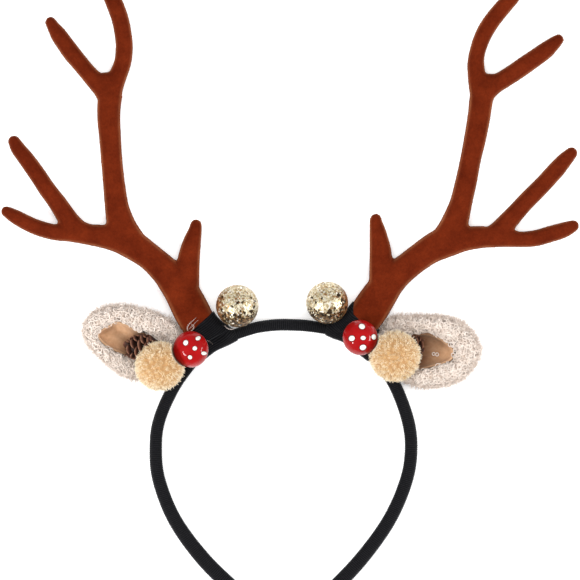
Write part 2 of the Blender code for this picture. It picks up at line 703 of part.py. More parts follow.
def spread_on_sphere(count):
    """Directions spaced evenly on a sphere by the golden angle."""
    index = np.arange(count) + 0.5
    polar = np.arccos(1 - 2 * index / count)
    round_ = math.pi * (1 + 5**0.5) * index
    return np.column_stack([
        np.sin(polar) * np.cos(round_), np.sin(polar) * np.sin(round_), np.cos(polar),
    ])


def make_pompom(side, u, v, radius, height, cutters):
    """A yarn ball: tufts fused to a core, dented where its neighbours press."""
    work = bmesh.new()
    bmesh.ops.create_icosphere(work, subdivisions=3, radius=1.0)
    mesh = bpy.data.meshes.new("pompom_" + side)
    work.to_mesh(mesh)
    work.free()
    pompom = add_object(mesh.name, mesh)
    directions = points_of(pompom)
    nearest = (directions @ spread_on_sphere(POMPOM_TUFTS).T).max(axis=1)
    spacing = math.sqrt(4 * math.pi / POMPOM_TUFTS) / 2
    fall = np.clip(np.arccos(np.clip(nearest, -1, 1)) / spacing, 0, 1.2) ** 2
    reach = radius * UNIT - TUFT_RELIEF * fall
    set_points(pompom, directions * reach[:, None] + place(u, v, height))
    for cutter in cutters:
        combine(pompom, cutter)
    keep_front(pompom)
    soften(pompom, POMPOM_VOXEL, 1)
    decimate(pompom, POMPOM_TRIANGLES)
    paint(pompom, "pompom")
    return pompom


def cone_rings(tip, base, radius, relief, extra):
    """Rings down a spindle, whose spiral rows of scales stand out by `relief`."""
    axis = base - tip
    length = np.linalg.norm(axis)
    axis = axis / length
    first = np.cross(axis, (0.0, 0.0, 1.0))
    first = first / np.linalg.norm(first)
    second = np.cross(axis, first)
    turn = np.linspace(0, 2 * math.pi, 2 * CONE_SCALES, endpoint=False)
    ring = first * np.cos(turn)[:, None] + second * np.sin(turn)[:, None]
    for row, (share, thick) in enumerate(CONE_PROFILE):
        # Each scale stands out over the gap of the row before.
        wave = relief * np.cos(CONE_SCALES * turn + math.pi * row)
        out = thick * radius * UNIT * (1 + wave) + extra
        along = length * np.clip(share - 0.27 * wave, 0, 1) + extra * (2 * share - 1)
        yield tip + axis * along[:, None] + ring * out[:, None]


def make_cone(side, tip_u, tip_v, base_u, base_v, radius, rise, seats):
    """A pine cone, and the smooth sheath that clears it."""
    tip, base = place(tip_u, tip_v, 16.0 + rise), place(base_u, base_v, 16.0)
    cone = loft("pine_cone_" + side, cone_rings(tip, base, radius, CONE_RELIEF, 0.0))
    lowered = seat(cone, seats, 14 * MM)
    sheath = loft(cone.name + "_sheath",
                  cone_rings(tip, base, radius * (1 + CONE_RELIEF), 0.0, 2 * GAP), "cutters")
    set_points(sheath, points_of(sheath) - (0.0, 0.0, lowered))
    paint(cone, "pine_cone")
    return cone, sheath


def build():
    clear_scene()
    band = make_band()
    band_cutter = grown(band)
    for side, branches, tape, ear in (
        ("left", ANTLER_LEFT, WRAP_LEFT, EAR_LEFT),
        ("right", ANTLER_RIGHT, WRAP_RIGHT, EAR_RIGHT),
    ):
        antler = make_antler(side, branches)
        wrap = make_wrap(side, tape, branches, band, antler)
        antler_cutter, wrap_cutter = grown(antler), grown(wrap)
        fleece, lining, filled = make_ear(side, ear, (band_cutter, antler_cutter, wrap_cutter))
        for row in BALL:
            if row[0] == side:
                make_ball(*row, (wrap, band, antler))
        for row in MUSHROOM:
            if row[0] == side:
                cap, stem = make_cap(*row)
                combine(stem, wrap_cutter)
                keep_front(stem)
                clear = over_cap(*row)
        for row in CONE:
            if row[0] == side:
                sheath = make_cone(*row, (lining, fleece))[1]
        for row in POMPOM:
            if row[0] == side:
                make_pompom(*row, [grown(piece, 2 * GAP) for piece in (band, wrap, cap, stem)]
                            + [filled, sheath, clear])


build()
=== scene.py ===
"""The finished reindeer antler headband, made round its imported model.

Lengths are in metres: +X is the viewer's right, +Y runs up the antlers, +Z comes out of the front.
Outlines are drawn in the front view, in units of half a millimetre, u to the right and v down.
"""

import math

import bpy
import numpy as np
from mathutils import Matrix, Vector
from mathutils.bvhtree import BVHTree


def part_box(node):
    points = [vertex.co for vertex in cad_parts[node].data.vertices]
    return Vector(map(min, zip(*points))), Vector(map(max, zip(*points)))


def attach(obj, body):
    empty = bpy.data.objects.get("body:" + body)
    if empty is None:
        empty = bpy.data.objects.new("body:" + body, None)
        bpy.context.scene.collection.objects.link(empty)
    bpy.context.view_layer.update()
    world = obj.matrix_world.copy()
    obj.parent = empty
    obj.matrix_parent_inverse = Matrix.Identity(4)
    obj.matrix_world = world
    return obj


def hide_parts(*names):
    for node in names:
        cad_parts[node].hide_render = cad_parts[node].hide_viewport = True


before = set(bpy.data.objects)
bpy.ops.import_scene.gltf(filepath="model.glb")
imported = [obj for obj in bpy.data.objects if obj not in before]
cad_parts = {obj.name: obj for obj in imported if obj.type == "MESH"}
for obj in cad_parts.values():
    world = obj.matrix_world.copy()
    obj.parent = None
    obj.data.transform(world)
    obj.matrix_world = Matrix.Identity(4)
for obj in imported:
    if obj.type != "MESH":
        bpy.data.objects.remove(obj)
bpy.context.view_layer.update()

# Headband: a sprung strip wound closely with black cloth, whose threads lie as fine ribs across it.
# One section, flat inside and domed outside, is carried along the arch and rounded off at the tips.
MM = 0.001
UNIT = 0.5 * MM
MIDDLE_U, MIDDLE_V = 290.07, 288.8
SIDES = ("left", "right")
BAND_DEPTH = 9.0 * MM
BAND = [
    # u, v, thickness, height
    (241, 596, 14.6, 4.5), (204.3, 560.4, 14.4, 4.7), (174.9, 520.3, 13.4, 5),
    (158.9, 480, 12.6, 5.3), (155.7, 448, 12.1, 5.6), (159.2, 420, 12, 5.8), (173, 388.5, 12, 6),
    (189.5, 365, 11.6, 6), (203.5, 350.5, 10.2, 6), (221, 340, 10.2, 6), (250.5, 329.2, 11, 6),
    (264, 326.2, 11.3, 6), (277.5, 324.8, 11.4, 6), (290.5, 324.8, 11.4, 6), (308, 325.8, 11.3, 6),
    (331.4, 329.8, 10.6, 6), (348, 336, 10.2, 6), (366, 350, 10.6, 6), (383, 367.8, 12, 6),
    (396, 387.5, 12, 6), (407.9, 420, 12.3, 5.8), (411.2, 448, 12.3, 5.6), (406.5, 480, 12.7, 5.3),
    (389.3, 520, 13.2, 5), (360.5, 560, 13.8, 4.7), (325.5, 597, 14.2, 4.5),
]
BAND_SECTION = [
    # out, across
    (-1.00, -0.62), (-1.00, 0.62), (-0.70, 0.92), (-0.15, 1.00), (0.40, 0.93), (0.80, 0.68),
    (1.00, 0.24), (1.00, -0.24), (0.80, -0.68), (0.40, -0.93), (-0.15, -1.00), (-0.70, -0.92),
]
SECTION_STEPS = 2
BAND_TIP = 2.0 * MM
RIB = 0.95 * MM  # from one thread to the next
RIB_RELIEF = 0.22 * MM
RIB_STATIONS = 4
# Greys of the wound cloth: the darkest is painted shade in the grooves between the threads, the
# lightest the threads' crests.
CLOTH_GREYS_AND_GROOVE_SHADE = [(0.0, (0.0006, 0.0006, 0.0009)), (0.50, (0.0036, 0.0036, 0.0045)),
               (1.0, (0.0200, 0.0200, 0.0220))]


def place(u, v, height):
    """Points of the front view: x is u from the middle, y is the middle from v, z is the height."""
    return np.stack(np.broadcast_arrays((u - MIDDLE_U) * UNIT, (MIDDLE_V - v) * UNIT, height), -1)


def circle(count):
    """Angles spaced evenly round a circle."""
    return np.linspace(0, 2 * math.pi, count, endpoint=False)


def unit(ways):
    """The ways, each divided by its own length."""
    return ways / np.linalg.norm(ways, axis=-1, keepdims=True)


def smooth_rows(rows, steps, closed=False):
    """Rows read off the Catmull-Rom curve through the given rows, `steps` to a span: the cubic that
    passes through each row along the line from the row before it to the row after it."""
    rows = np.array(rows, float)
    if closed:
        padded = np.vstack([rows[-1:], rows, rows[:2]])
    else:
        padded = np.vstack([2 * rows[:1] - rows[1:2], rows, 2 * rows[-1:] - rows[-2:-1]])
    a, b, c, d = (padded[i:len(padded) - 3 + i, None] for i in range(4))
    t = (np.arange(steps) / steps)[None, :, None]
    spans = 0.5 * (2 * b + (c - a) * t + (2 * a - 5 * b + 4 * c - d) * t**2
                   + (3 * b - a - 3 * c + d) * t**3)
    read = spans.reshape(-1, rows.shape[1])
    return read if closed else np.vstack([read, rows[-1:]])


def ripples(points, length, seed, waves=14):
    """Smooth bumps from about -1 to 1: the mean of waves of about this length in random directions,
    each the sine of the distance along its direction plus a random phase."""
    random = np.random.default_rng(seed)
    ways = random.normal(size=(waves, 3))
    pace = 2 * math.pi / length / np.linalg.norm(ways, axis=1) * random.uniform(0.7, 1.5, waves)
    ways *= pace[:, None]
    return np.sin(points @ ways.T + random.uniform(0, 7, waves)).mean(-1) * 2.2


def joined(*tubes):
    """Closed tubes as one list of points and its groups of faces: quads between neighbouring rings
    and a cap on each end. A tube is a grid of rings, or a stack of such grids that are alike."""
    points, faces, start = [], [], 0
    for rings in tubes:
        index = np.arange(math.prod(rings.shape[-3:-1])).reshape(rings.shape[-3:-1])
        after = np.roll(index, -1, axis=1)
        sides = np.stack([index[:-1], after[:-1], after[1:], index[1:]], -1).reshape(-1, 4)
        shift = np.arange(start, start + rings[..., 0].size, index.size)[:, None, None]
        faces += [(group + shift).reshape(-1, group.shape[1])
                  for group in (sides, index[:1, ::-1], index[-1:])]
        points.append(rings.reshape(-1, 3))
        start += len(points[-1])
    return np.vstack(points), faces


def fill_mesh(mesh, points, faces):
    """Puts points, and groups of faces with one number of corners to a group, into a mesh. If they
    close on a negative volume, a third of the sum of point times normal, they are turned over."""
    volume = sum(np.einsum("ij,ij->", points[group[:, 0]],
                           np.cross(points[group[:, i]], points[group[:, i + 1]]))
                 for group in faces for i in range(1, group.shape[1] - 1))
    if volume < 0:
        faces = [group[:, ::-1] for group in faces]
    corners = np.concatenate([group.ravel() for group in faces])
    sizes = np.concatenate([np.full(len(group), group.shape[1]) for group in faces])
    mesh.vertices.add(len(points))
    mesh.vertices.foreach_set("co", np.ascontiguousarray(points, np.float32).ravel())
    mesh.loops.add(len(corners))
    mesh.loops.foreach_set("vertex_index", corners.astype(np.int32))
    mesh.polygons.add(len(sizes))
    mesh.polygons.foreach_set("loop_start", (np.cumsum(sizes) - sizes).astype(np.int32))
    mesh.update(calc_edges=True)


def add_piece(name, shape, materials, replaces=(), smooth=True):
    """A piece of the headband, which rides with the model and takes its finish from a slot."""
    piece = bpy.data.objects.new(name, bpy.data.meshes.new(name))
    fill_mesh(piece.data, *shape)
    bpy.context.scene.collection.objects.link(piece)
    for material in materials:
        piece.data.materials.append(material)
    if smooth:
        piece.data.shade_smooth()
    else:
        piece.data.shade_flat()
    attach(piece, "root")
    if replaces:
        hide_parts(*replaces)
    return piece


def tag(piece, name, values):
    """Keeps one number, or one colour, to a point for the material to read."""
    values = np.asarray(values, np.float32)
    if values.ndim == 1:
        kind, field = "FLOAT", "value"
    else:
        kind, field = "FLOAT_COLOR", "color"
        values = np.column_stack([values, np.ones(len(values))])
    piece.data.attributes.new(name, kind, "POINT").data.foreach_set(field, values.ravel())


def add_node(tree, kind, sockets=None, **settings):
    """A node with its settings made, and its sockets joined to others or set to values."""
    node = tree.nodes.new(kind)
    for setting, value in settings.items():
        setattr(node, setting, value)
    for socket, value in (sockets or {}).items():
        if isinstance(value, bpy.types.NodeSocket):
            tree.links.new(value, node.inputs[socket])
        else:
            node.inputs[socket].default_value = value
    return node


def new_material(name, **sockets):
    """A Principled material, and its node tree and shader. Words in a socket's name take a `_`."""
    material = bpy.data.materials.new(name)
    material.use_nodes = True
    shader = material.node_tree.nodes["Principled BSDF"]
    for socket, value in sockets.items():
        words = socket.replace("_", " ").title().replace("Ior", "IOR")
        shader.inputs[words].default_value = (*value, 1.0) if isinstance(value, tuple) else value
    return material, material.node_tree, shader


def carried(tree, name, output="Fac"):
    """What the mesh keeps to a point under this name."""
    return add_node(tree, "ShaderNodeAttribute", attribute_name=name).outputs[output]


def noise(tree, scale, detail=3.0, roughness=0.6):
    """Blender's noise on the object's own coordinates, `scale` to a metre."""
    where = add_node(tree, "ShaderNodeTexCoord").outputs["Object"]
    return add_node(tree, "ShaderNodeTexNoise", {
        "Vector": where, "Scale": scale, "Detail": detail, "Roughness": roughness,
    }).outputs["Fac"]


def ramp(tree, value, stops):
    """A colour ramp: a colour to each place from 0 to 1."""
    made = add_node(tree, "ShaderNodeValToRGB", {"Fac": value})
    elements = made.color_ramp.elements
    while len(elements) < len(stops):
        elements.new(0.5)
    for element, (position, colour) in zip(elements, stops):
        element.position = position
        element.color = (*colour, 1.0)
    return made.outputs["Color"]


def arithmetic(tree, operation, *values, clamp=False):
    """Blender's arithmetic on sockets and numbers."""
    node = add_node(tree, "ShaderNodeMath", dict(enumerate(values)), operation=operation)
    node.use_clamp = clamp
    return node.outputs[0]


def cover(tree, shader, colour, height, depth):
    """Gives the shader its colour, and bumps it by a height from 0 to 1, `depth` metres deep."""
    tree.links.new(colour, shader.inputs["Base Color"])
    bump = add_node(tree, "ShaderNodeBump", {"Height": height, "Distance": depth, "Strength": 1.0})
    tree.links.new(bump.outputs["Normal"], shader.inputs["Normal"])


def cloth_material(name):
    """Matt black cloth: grey threads side by side, with painted shade darkening the grooves between
    them, and a fine fuzz. The grey goes with the sine of the distance over the threads, which the
    mesh counts in threads."""
    material, tree, shader = new_material(
        name, roughness=0.9, sheen_weight=0.12, sheen_roughness=0.4, sheen_tint=(0.60, 0.62, 0.68),
        specular_ior_level=0.10)
    angle = arithmetic(tree, "MULTIPLY", carried(tree, "thread"), 2 * math.pi)
    crest = arithmetic(tree, "MULTIPLY_ADD", arithmetic(tree, "SINE", angle), 0.28, 0.30)
    fuzz = noise(tree, 1400.0, 3.0, 0.75)
    height = arithmetic(tree, "MULTIPLY_ADD", fuzz, 0.75, crest, clamp=True)
    # Painted shade: the grey darkens where the threads dip into the grooves.
    grey = ramp(tree, arithmetic(tree, "SUBTRACT", height, 0.20), CLOTH_GREYS_AND_GROOVE_SHADE)
    cover(tree, shader, grey, height, 0.10 * MM)
    return material


def band_path():
    """The band's middle as rows of x, y, z and half thickness, and the arc length to each row."""
    u, v, thickness, height = smooth_rows(BAND, 12).T
    path = np.column_stack([place(u, v, height * MM), thickness * UNIT / 2])
    steps = np.linalg.norm(np.diff(path[:, :2], axis=0), axis=1)
    return path, np.concatenate([[0.0], np.cumsum(steps)])


def band_rings(lengths, extra=0.0, shares=1.0):
    """The band's section at each arc length: the middle, plus the outward way times the section's
    first number and half the thickness, plus the height times its second and half the depth. All
    sides are thickened by `extra`, which may differ from point to point."""
    path, along = band_path()

    def at(length):
        return np.column_stack([np.interp(length, along, column) for column in path.T])

    middle = at(lengths)
    within = np.clip(lengths, along[0] + MM, along[-1] - MM)
    way = unit((at(within + MM) - at(within - MM))[:, :2])
    middle[:, :2] += way * (lengths - np.clip(lengths, along[0], along[-1]))[:, None]
    section = smooth_rows(BAND_SECTION, SECTION_STEPS, closed=True)
    shares = np.broadcast_to(shares, len(lengths))
    out = ((middle[:, 3] * shares)[:, None] + extra) * section[:, 0]
    up = ((BAND_DEPTH / 2 * shares)[:, None] + extra) * section[:, 1]
    return np.stack([middle[:, :1] - way[:, 1:] * out, middle[:, 1:2] + way[:, :1] * out,
                     middle[:, 2:3] + up], -1)


def band_length_at(u, v):
    path, along = band_path()
    return along[np.argmin(np.linalg.norm(path[:, :2] - place(u, v, 0.0)[:2], axis=1))]


def make_band():
    """The wound band. Each thread swells it by a half circle's height over the thread's width, and
    the threads lean a little, as wound cloth does."""
    end = band_path()[1][-1]
    lengths = np.arange(-BAND_TIP, end + BAND_TIP, RIB / RIB_STATIONS)
    past = np.maximum(np.maximum(-lengths, lengths - end), 0) / (BAND_TIP * 1.02)
    turn = circle(len(BAND_SECTION) * SECTION_STEPS)
    round_band = np.stack(np.broadcast_arrays(
        lengths[:, None], 4 * MM * np.cos(turn), 4 * MM * np.sin(turn)), -1)
    thread = lengths[:, None] / RIB + 0.35 * np.sin(turn) + 0.15 * ripples(round_band, 0.02, 1)
    swell = np.sqrt(np.maximum(1 - (2 * (thread % 1) - 1) ** 2, 0)) - 0.7
    rings = band_rings(lengths, RIB_RELIEF * swell, np.sqrt(1 - past**2))
    band = add_piece("wound_band", joined(rings), [black_cloth], ["band"])
    tag(band, "thread", thread.ravel() - 0.25)


black_cloth = cloth_material("wound_cloth")
make_band()

# Antlers: moulded in two halves that meet in a fine parting line, and flocked with rust velvet.
# Each branch is a tapered tube along its middle line. The tubes are fused, rounded at the forks,
# flattened where they are wide, and bent back until their tips lie down.
ANTLER_DEPTH = 5.5 * MM  # half the depth that the wide stretches flatten towards
ANTLER_BEND = [
    # v, height of the middle plane
    (-25, 2.7), (0, 4), (40, 4.5), (90, 5.3), (280, 6.4), (345, 7),
]
ANTLER_VOXEL = 0.80 * MM
RELAX_PASSES = 6
PARTING = 0.18 * MM
PARTING_WIDTH = 0.65 * MM
# Painted sheen along the antlers' edges: how far sideways the surface turns where it is strongest,
# how wide a band it takes, and how strong it is.
RIM_SHEEN_AT, RIM_SHEEN_WIDTH, RIM_SHEEN_MOST = 0.62, 0.17, 0.62  # where the velvet turns sideways
ANTLERS = {
    "left": {
        # u, v, width
        "trunk": [
            (205.5, 337.5, 33), (199, 325, 34.5), (191.6, 311, 36.5), (181, 291, 34.5),
            (172.4, 278.8, 32.4), (164.6, 270.3, 29.4), (149, 256.2, 27), (128, 242, 30),
            (115, 238, 27), (100, 236, 22.5), (80, 233.6, 19.5), (68, 233, 17), (55, 232.3, 16),
            (45, 230, 15.7), (35, 226.7, 15.5), (25, 222, 15), (15, 216.5, 14), (6.5, 211.5, 11),
        ],
        "inner_tine": [
            (186, 292, 26), (187, 276, 24.5), (188.7, 260, 22.2), (190.3, 250, 20.2),
            (192.5, 240, 17.4), (195, 231, 13.8), (196, 225, 11.6),
        ],
        "outer_tine": [
            (92, 235, 20), (80, 231, 20.5), (73, 225, 20), (66, 216, 19.5), (57.5, 203, 18),
            (47, 189, 17), (37.5, 174.7, 16.7), (27, 160, 16), (18, 148.5, 14.5), (14, 141.3, 12),
        ],
        "beam": [
            (132, 244, 30), (123, 230, 30), (117.8, 212, 25), (115.9, 200, 23), (113.6, 180, 21.6),
            (111.7, 160, 21.2), (110.2, 140, 21.6), (108.8, 120, 22.8), (109, 105, 23.5),
            (110.5, 95, 24),
        ],
        "upper_tine": [
            (109, 100, 20), (103, 89, 20), (95, 80.5, 18.2), (86.5, 71, 16.8), (79, 62, 17),
            (72, 53.5, 17.5), (65, 44, 17), (58, 34, 16), (54, 28, 13), (50.5, 22, 11),
        ],
        "top_tine": [
            (110, 100, 22), (113, 88, 20), (118, 75, 18), (122.5, 63, 17), (124.1, 50, 17.1),
            (123.8, 40, 17), (120.3, 20, 17), (113, 0, 16.9), (108, -10, 15.2), (104, -17, 12.5),
            (101.5, -21, 10),
        ],
        "web": [(98, 81, 15), (105.5, 80.8, 17), (114, 79.5, 15)],
    },
    "right": {
        "trunk": [
            (356, 332.5, 33), (362.5, 321.5, 34.5), (370.3, 309.4, 36.2), (379.7, 295, 34.7),
            (391, 280, 31), (407.5, 266, 27), (427, 251.5, 28), (440, 244.5, 30.5),
            (452, 241.5, 28), (465, 239, 24), (480, 237.2, 22.3), (495, 237.5, 19.5),
            (510, 238.5, 17.2), (520, 239.3, 15.7), (530, 239, 16), (540, 237.2, 16.3),
            (550, 234.2, 16.3), (560, 231.3, 16), (568, 228.3, 14.3), (573, 226, 12),
        ],
        "inner_tine": [
            (382.5, 290, 26), (381.7, 276, 25), (381, 262, 23), (380.4, 250, 21.4),
            (379, 240, 18.8), (377.5, 230, 15.8), (376.2, 224, 13.2), (375.7, 219.3, 11.6),
        ],
        "outer_tine": [
            (488, 238, 20), (498, 231.5, 20), (508, 221.3, 19.5), (516.6, 211.7, 18),
            (526.4, 201, 17.6), (536.4, 191, 17.5), (546.2, 180.8, 17), (556.2, 169.8, 17),
            (565, 159.8, 15), (571.5, 153, 12),
        ],
        "beam": [
            (443, 244, 30), (452, 230, 29), (458.6, 211, 24), (461.8, 200, 22), (466.5, 180, 21.4),
            (470.5, 160, 20.6), (474.8, 140, 21.8), (478.5, 120, 22.6), (480.2, 108, 23),
            (481.5, 98, 24),
        ],
        "upper_tine": [
            (481, 102, 20), (486.5, 91.5, 20), (495, 84.5, 18.5), (505, 78.4, 17.8), (515, 72, 18),
            (525, 65, 18), (534.8, 58.2, 17.5), (544.7, 51.1, 17), (553.3, 44, 14),
            (558.5, 39.5, 11),
        ],
        "top_tine": [
            (482, 103, 21), (479.8, 92, 20), (477.3, 80, 18.2), (476.3, 70, 17.3), (476, 60, 16.2),
            (478, 50, 15.8), (481.3, 40, 16.3), (486, 30, 16.7), (492.5, 20, 16.6),
            (500.5, 10, 16.4), (509.5, 0, 15.5), (516, -7, 14), (521, -12.5, 11.5),
            (524, -15.5, 10),
        ],
        "web": [(481.5, 81.5, 15), (490, 82, 17), (498, 80.5, 14)],
    },
}
VELVET = (0.084, 0.0092, 0.0020), (0.142, 0.0178, 0.0040)
# Colour of the painted sheen along the antlers' edges.
RIM_SHEEN_COLOUR = (0.33, 0.115, 0.046)


def mixed(tree, value, first, second, blend="MIX"):
    """The first colour turned into the second by a value."""
    made = add_node(tree, "ShaderNodeMix", data_type="RGBA", blend_type=blend)
    for index, socket in ((0, value), (6, first), (7, second)):
        if isinstance(socket, bpy.types.NodeSocket):
            tree.links.new(socket, made.inputs[index])
        else:
            colour = (*socket, 1.0) if isinstance(socket, tuple) else socket
            made.inputs[index].default_value = colour
    return made.outputs[2]


def blotches(tree, first, second, scale, detail=3.0, roughness=0.6):
    """Two colours in soft blotches, `scale` of them to a metre."""
    return ramp(tree, noise(tree, scale, detail, roughness), [(0.3, first), (0.7, second)])


def read(piece, what):
    """Rows of three numbers: the points of a piece by "co", or their normals by "normal"."""
    flat = np.empty(len(piece.data.vertices) * 3)
    piece.data.vertices.foreach_get(what, flat)
    return flat.reshape(-1, 3)


def set_points(piece, points):
    piece.data.vertices.foreach_set("co", np.ascontiguousarray(points).ravel())
    piece.data.update()


def fuse(piece, voxel):
    """Fuses the piece's overlapping shapes into one skin of voxels, and relaxes it."""
    remesh = piece.modifiers.new("fuse", "REMESH")
    remesh.mode = "VOXEL"
    remesh.voxel_size = voxel
    remesh.use_smooth_shade = True
    relax = piece.modifiers.new("relax", "SMOOTH")
    relax.factor = 0.5
    relax.iterations = RELAX_PASSES
    fused = piece.evaluated_get(bpy.context.evaluated_depsgraph_get())
    mesh = bpy.data.meshes.new_from_object(fused)
    piece.modifiers.clear()
    piece.data = mesh


def rings_along(path, half, around, height=0.0):
    """Rings round a line of the front view: the line plus the way across it times the cosine, and
    the height plus the sine, both times half the width. All are in the drawing's units."""
    way = unit(np.gradient(path[:, :2], axis=0))
    turn = circle(around)
    across = half * np.cos(turn)
    return place(path[:, :1] - way[:, 1:] * across, path[:, 1:2] + way[:, :1] * across,
                 (height + half * np.sin(turn)) * UNIT)


def branch_rings(rows, ended):
    """Rings round a branch's middle line. An ended branch gets a half ball for a tip: onwards by
    the sine of an angle times the radius, with the cosine for its width."""
    path = smooth_rows(rows, 5)
    if ended:
        heading = path[-1, :2] - path[-2, :2]
        heading = heading / np.linalg.norm(heading)
        turn = np.radians([20.0, 40.0, 60.0, 78.0])
        radius = path[-1, 2] / 2
        path = np.vstack([path, np.column_stack([
            path[-1, :2] + heading * radius * np.sin(turn)[:, None], 2 * radius * np.cos(turn)])])
    return rings_along(path, path[:, 2:3] / 2, 20)


def velvet():
    """Rust flock: short fibres that glow at grazing angles, over a brown with soft blotches. Where
    the surface turns sideways, near the parting line, it is painted paler: a painted sheen along
    the velvet's edges."""
    material, tree, shader = new_material(
        "rust_velvet", roughness=0.95, sheen_weight=0.16, sheen_roughness=0.28,
        sheen_tint=(1.0, 0.44, 0.22), specular_ior_level=0.05)
    # Painted sheen: the brown is mixed towards a paler colour along the antlers' edges.
    brown = mixed(tree, carried(tree, "painted_rim_sheen"), blotches(tree, *VELVET, 95.0, 5.0, 0.66), RIM_SHEEN_COLOUR)
    fibres = blotches(tree, (0.70, 0.68, 0.66), (1.0, 1.0, 1.0), 900.0, 3.0, 0.8)
    cover(tree, shader, mixed(tree, 1.0, brown, fibres, "MULTIPLY"), noise(tree, 1300.0), 0.16 * MM)
    return material


def make_antler(side, material):
    """The antler. Its height is divided by the fourth root of 1 plus the fourth power of its share
    of the depth, which flattens it. The parting line is a bell curve of the height."""
    branches = [branch_rings(rows, branch not in ("beam", "web"))
                for branch, rows in ANTLERS[side].items()]
    antler = add_piece("velvet_antler_" + side, joined(*branches), [material],
                       ["antler_" + side])
    fuse(antler, ANTLER_VOXEL)
    points, normals = read(antler, "co"), read(antler, "normal")
    ridge = np.exp(-(points[:, 2] / PARTING_WIDTH) ** 2) * PARTING
    share = np.abs(points[:, 2]) / ANTLER_DEPTH
    bend = np.array(ANTLER_BEND)
    drawn_v = MIDDLE_V - points[:, 1] / UNIT
    points[:, :2] += normals[:, :2] * ridge[:, None]
    points[:, 2] /= (1 + share**4) ** 0.25
    points[:, 2] += np.interp(drawn_v, bend[:, 0], bend[:, 1]) * MM
    points[:, 2] -= points[:, 2].min()
    set_points(antler, points)
    # Painted sheen: paler where the normal turns sideways, strongest at a set slant, in random
    # patches.
    sideways = 1 - np.abs(normals[:, 2])
    painted_lightness = (0.75 + 0.35 * ripples(points, 9 * MM, 3)).clip(0, 1)
    beside = np.exp(-((sideways - RIM_SHEEN_AT) / RIM_SHEEN_WIDTH) ** 2)
    tag(antler, "painted_rim_sheen", RIM_SHEEN_MOST * painted_lightness * beside)


flock = velvet()
for side in SIDES:
    make_antler(side, flock)

# Wraps: black cloth tape that binds each antler's foot to the band, wound turn over turn.
# A sleeve on the band and a sleeve on the foot are fused, and the tape thins out at its ends.
TAPE = 1.3 * MM
TAPE_SUNK = 0.3 * MM
TAPE_UNEVEN = 0.14 * MM
TAPE_END = 0.45 * MM
TAPE_RUN_OUT = 5.0 * MM
TAPE_LEAN = math.radians(36.0)  # the way its threads run, up from the band's middle
WRAP_VOXEL = 0.45 * MM
THINNER, THINNER_REACH = 0.9 * MM, 3.0  # at the tape's edge on the foot
FOOT_HALF = 19.0  # half the foot's width, in the drawing's units
FOOT_HEIGHT = 6.9 * MM
OVER_TABLE = 0.1 * MM
WRAPS = {
    "left": {
        "band_from": (196.5, 361), "band_to": (236.5, 333.6),
        # across the foot, the edge's distance along it
        "edge": [(-20, 20), (-12, 18.5), (-3, 16.3), (8, 13.2), (20, 9.6)],
        # along the foot, reach to its left, reach to its right
        "reach": [(0, 19, 19.5), (15, 19, 20), (24, 19, 22.5), (34, 17, 28)],
    },
    "right": {
        "band_from": (325.5, 328.8), "band_to": (373, 357),
        "edge": [
            (-20, -1), (-18.5, 0.6), (-15.5, 7), (-12, 12.5), (-6.8, 17), (-3, 19), (8, 18.5),
            (18, 13), (20, 10.5),
        ],
        "reach": [(0, 19.2, 19), (12, 20.3, 19), (22, 22.5, 19), (34, 28, 17)],
    },
}


def above(points, low):
    """The points, none lower than this."""
    points[..., 2] = np.maximum(points[..., 2], low)
    return points


def foot_rings(side):
    """Rings round the antler's foot: down the foot, and across it by the cosine times the reach on
    that side, with the sine times the depth for height. Both are a little squared by a power."""
    sizes = WRAPS[side]
    rows = np.array(ANTLERS[side]["trunk"])
    down = (rows[0] - rows[2])[:2]
    down /= np.linalg.norm(down)
    across = np.array([down[1], -down[0]])
    across *= np.sign(across[0])
    edge, reach = np.array(sizes["edge"]), np.array(sizes["reach"])
    sideways, deep = (np.sign(wave) * np.abs(wave) ** 0.8
                      for wave in (np.cos(circle(48)), np.sin(circle(48))))
    first = np.interp(sideways * FOOT_HALF, edge[:, 0], edge[:, 1])
    t = first + (reach[-1, 0] - first) * np.linspace(0.0, 1.0, 12)[:, None]
    left, right = (np.interp(t, reach[:, 0], reach[:, i]) for i in (1, 2))
    lateral = np.where(sideways < 0, left, right) * sideways
    thinner = THINNER * np.exp(-(t - first) / THINNER_REACH)
    return place(rows[2, 0] + down[0] * t + across[0] * lateral,
                 rows[2, 1] + down[1] * t + across[1] * lateral,
                 FOOT_HEIGHT + (ANTLER_DEPTH + TAPE - TAPE_SUNK - thinner) * deep)


def make_wrap(side, material):
    """The tape on the foot and the band. Its threads are counted across the way they run."""
    start, end = (band_length_at(*WRAPS[side][key]) for key in ("band_from", "band_to"))
    lengths = np.linspace(start, end, 60)
    from_end = np.minimum(lengths - start, end - lengths)
    thickness = TAPE_END + (TAPE - TAPE_END) * np.clip(from_end / TAPE_RUN_OUT, 0, 1) ** 0.7
    points, faces = joined(band_rings(lengths, thickness[:, None]), foot_rings(side))
    faces[3:] = [group[:, ::-1] for group in faces[3:]]  # the foot's rings run the other way round
    wrap = add_piece("tape_wrap_" + side, (points, faces), [material], ["wrap_" + side])
    fuse(wrap, WRAP_VOXEL)
    points, normals = read(wrap, "co"), read(wrap, "normal")
    points = points + normals * (TAPE_UNEVEN * ripples(points, 7 * MM, 8))[:, None]
    points = above(points, OVER_TABLE)
    set_points(wrap, points)
    lean = -TAPE_LEAN if side == "left" else TAPE_LEAN
    over = points[:, 0] * math.sin(lean) + points[:, 1] * math.cos(lean) + 0.35 * points[:, 2]
    tag(wrap, "thread", over / (1.05 * RIB) + 0.35 * ripples(points, 12 * MM, 5))


for side in SIDES:
    make_wrap(side, black_cloth)

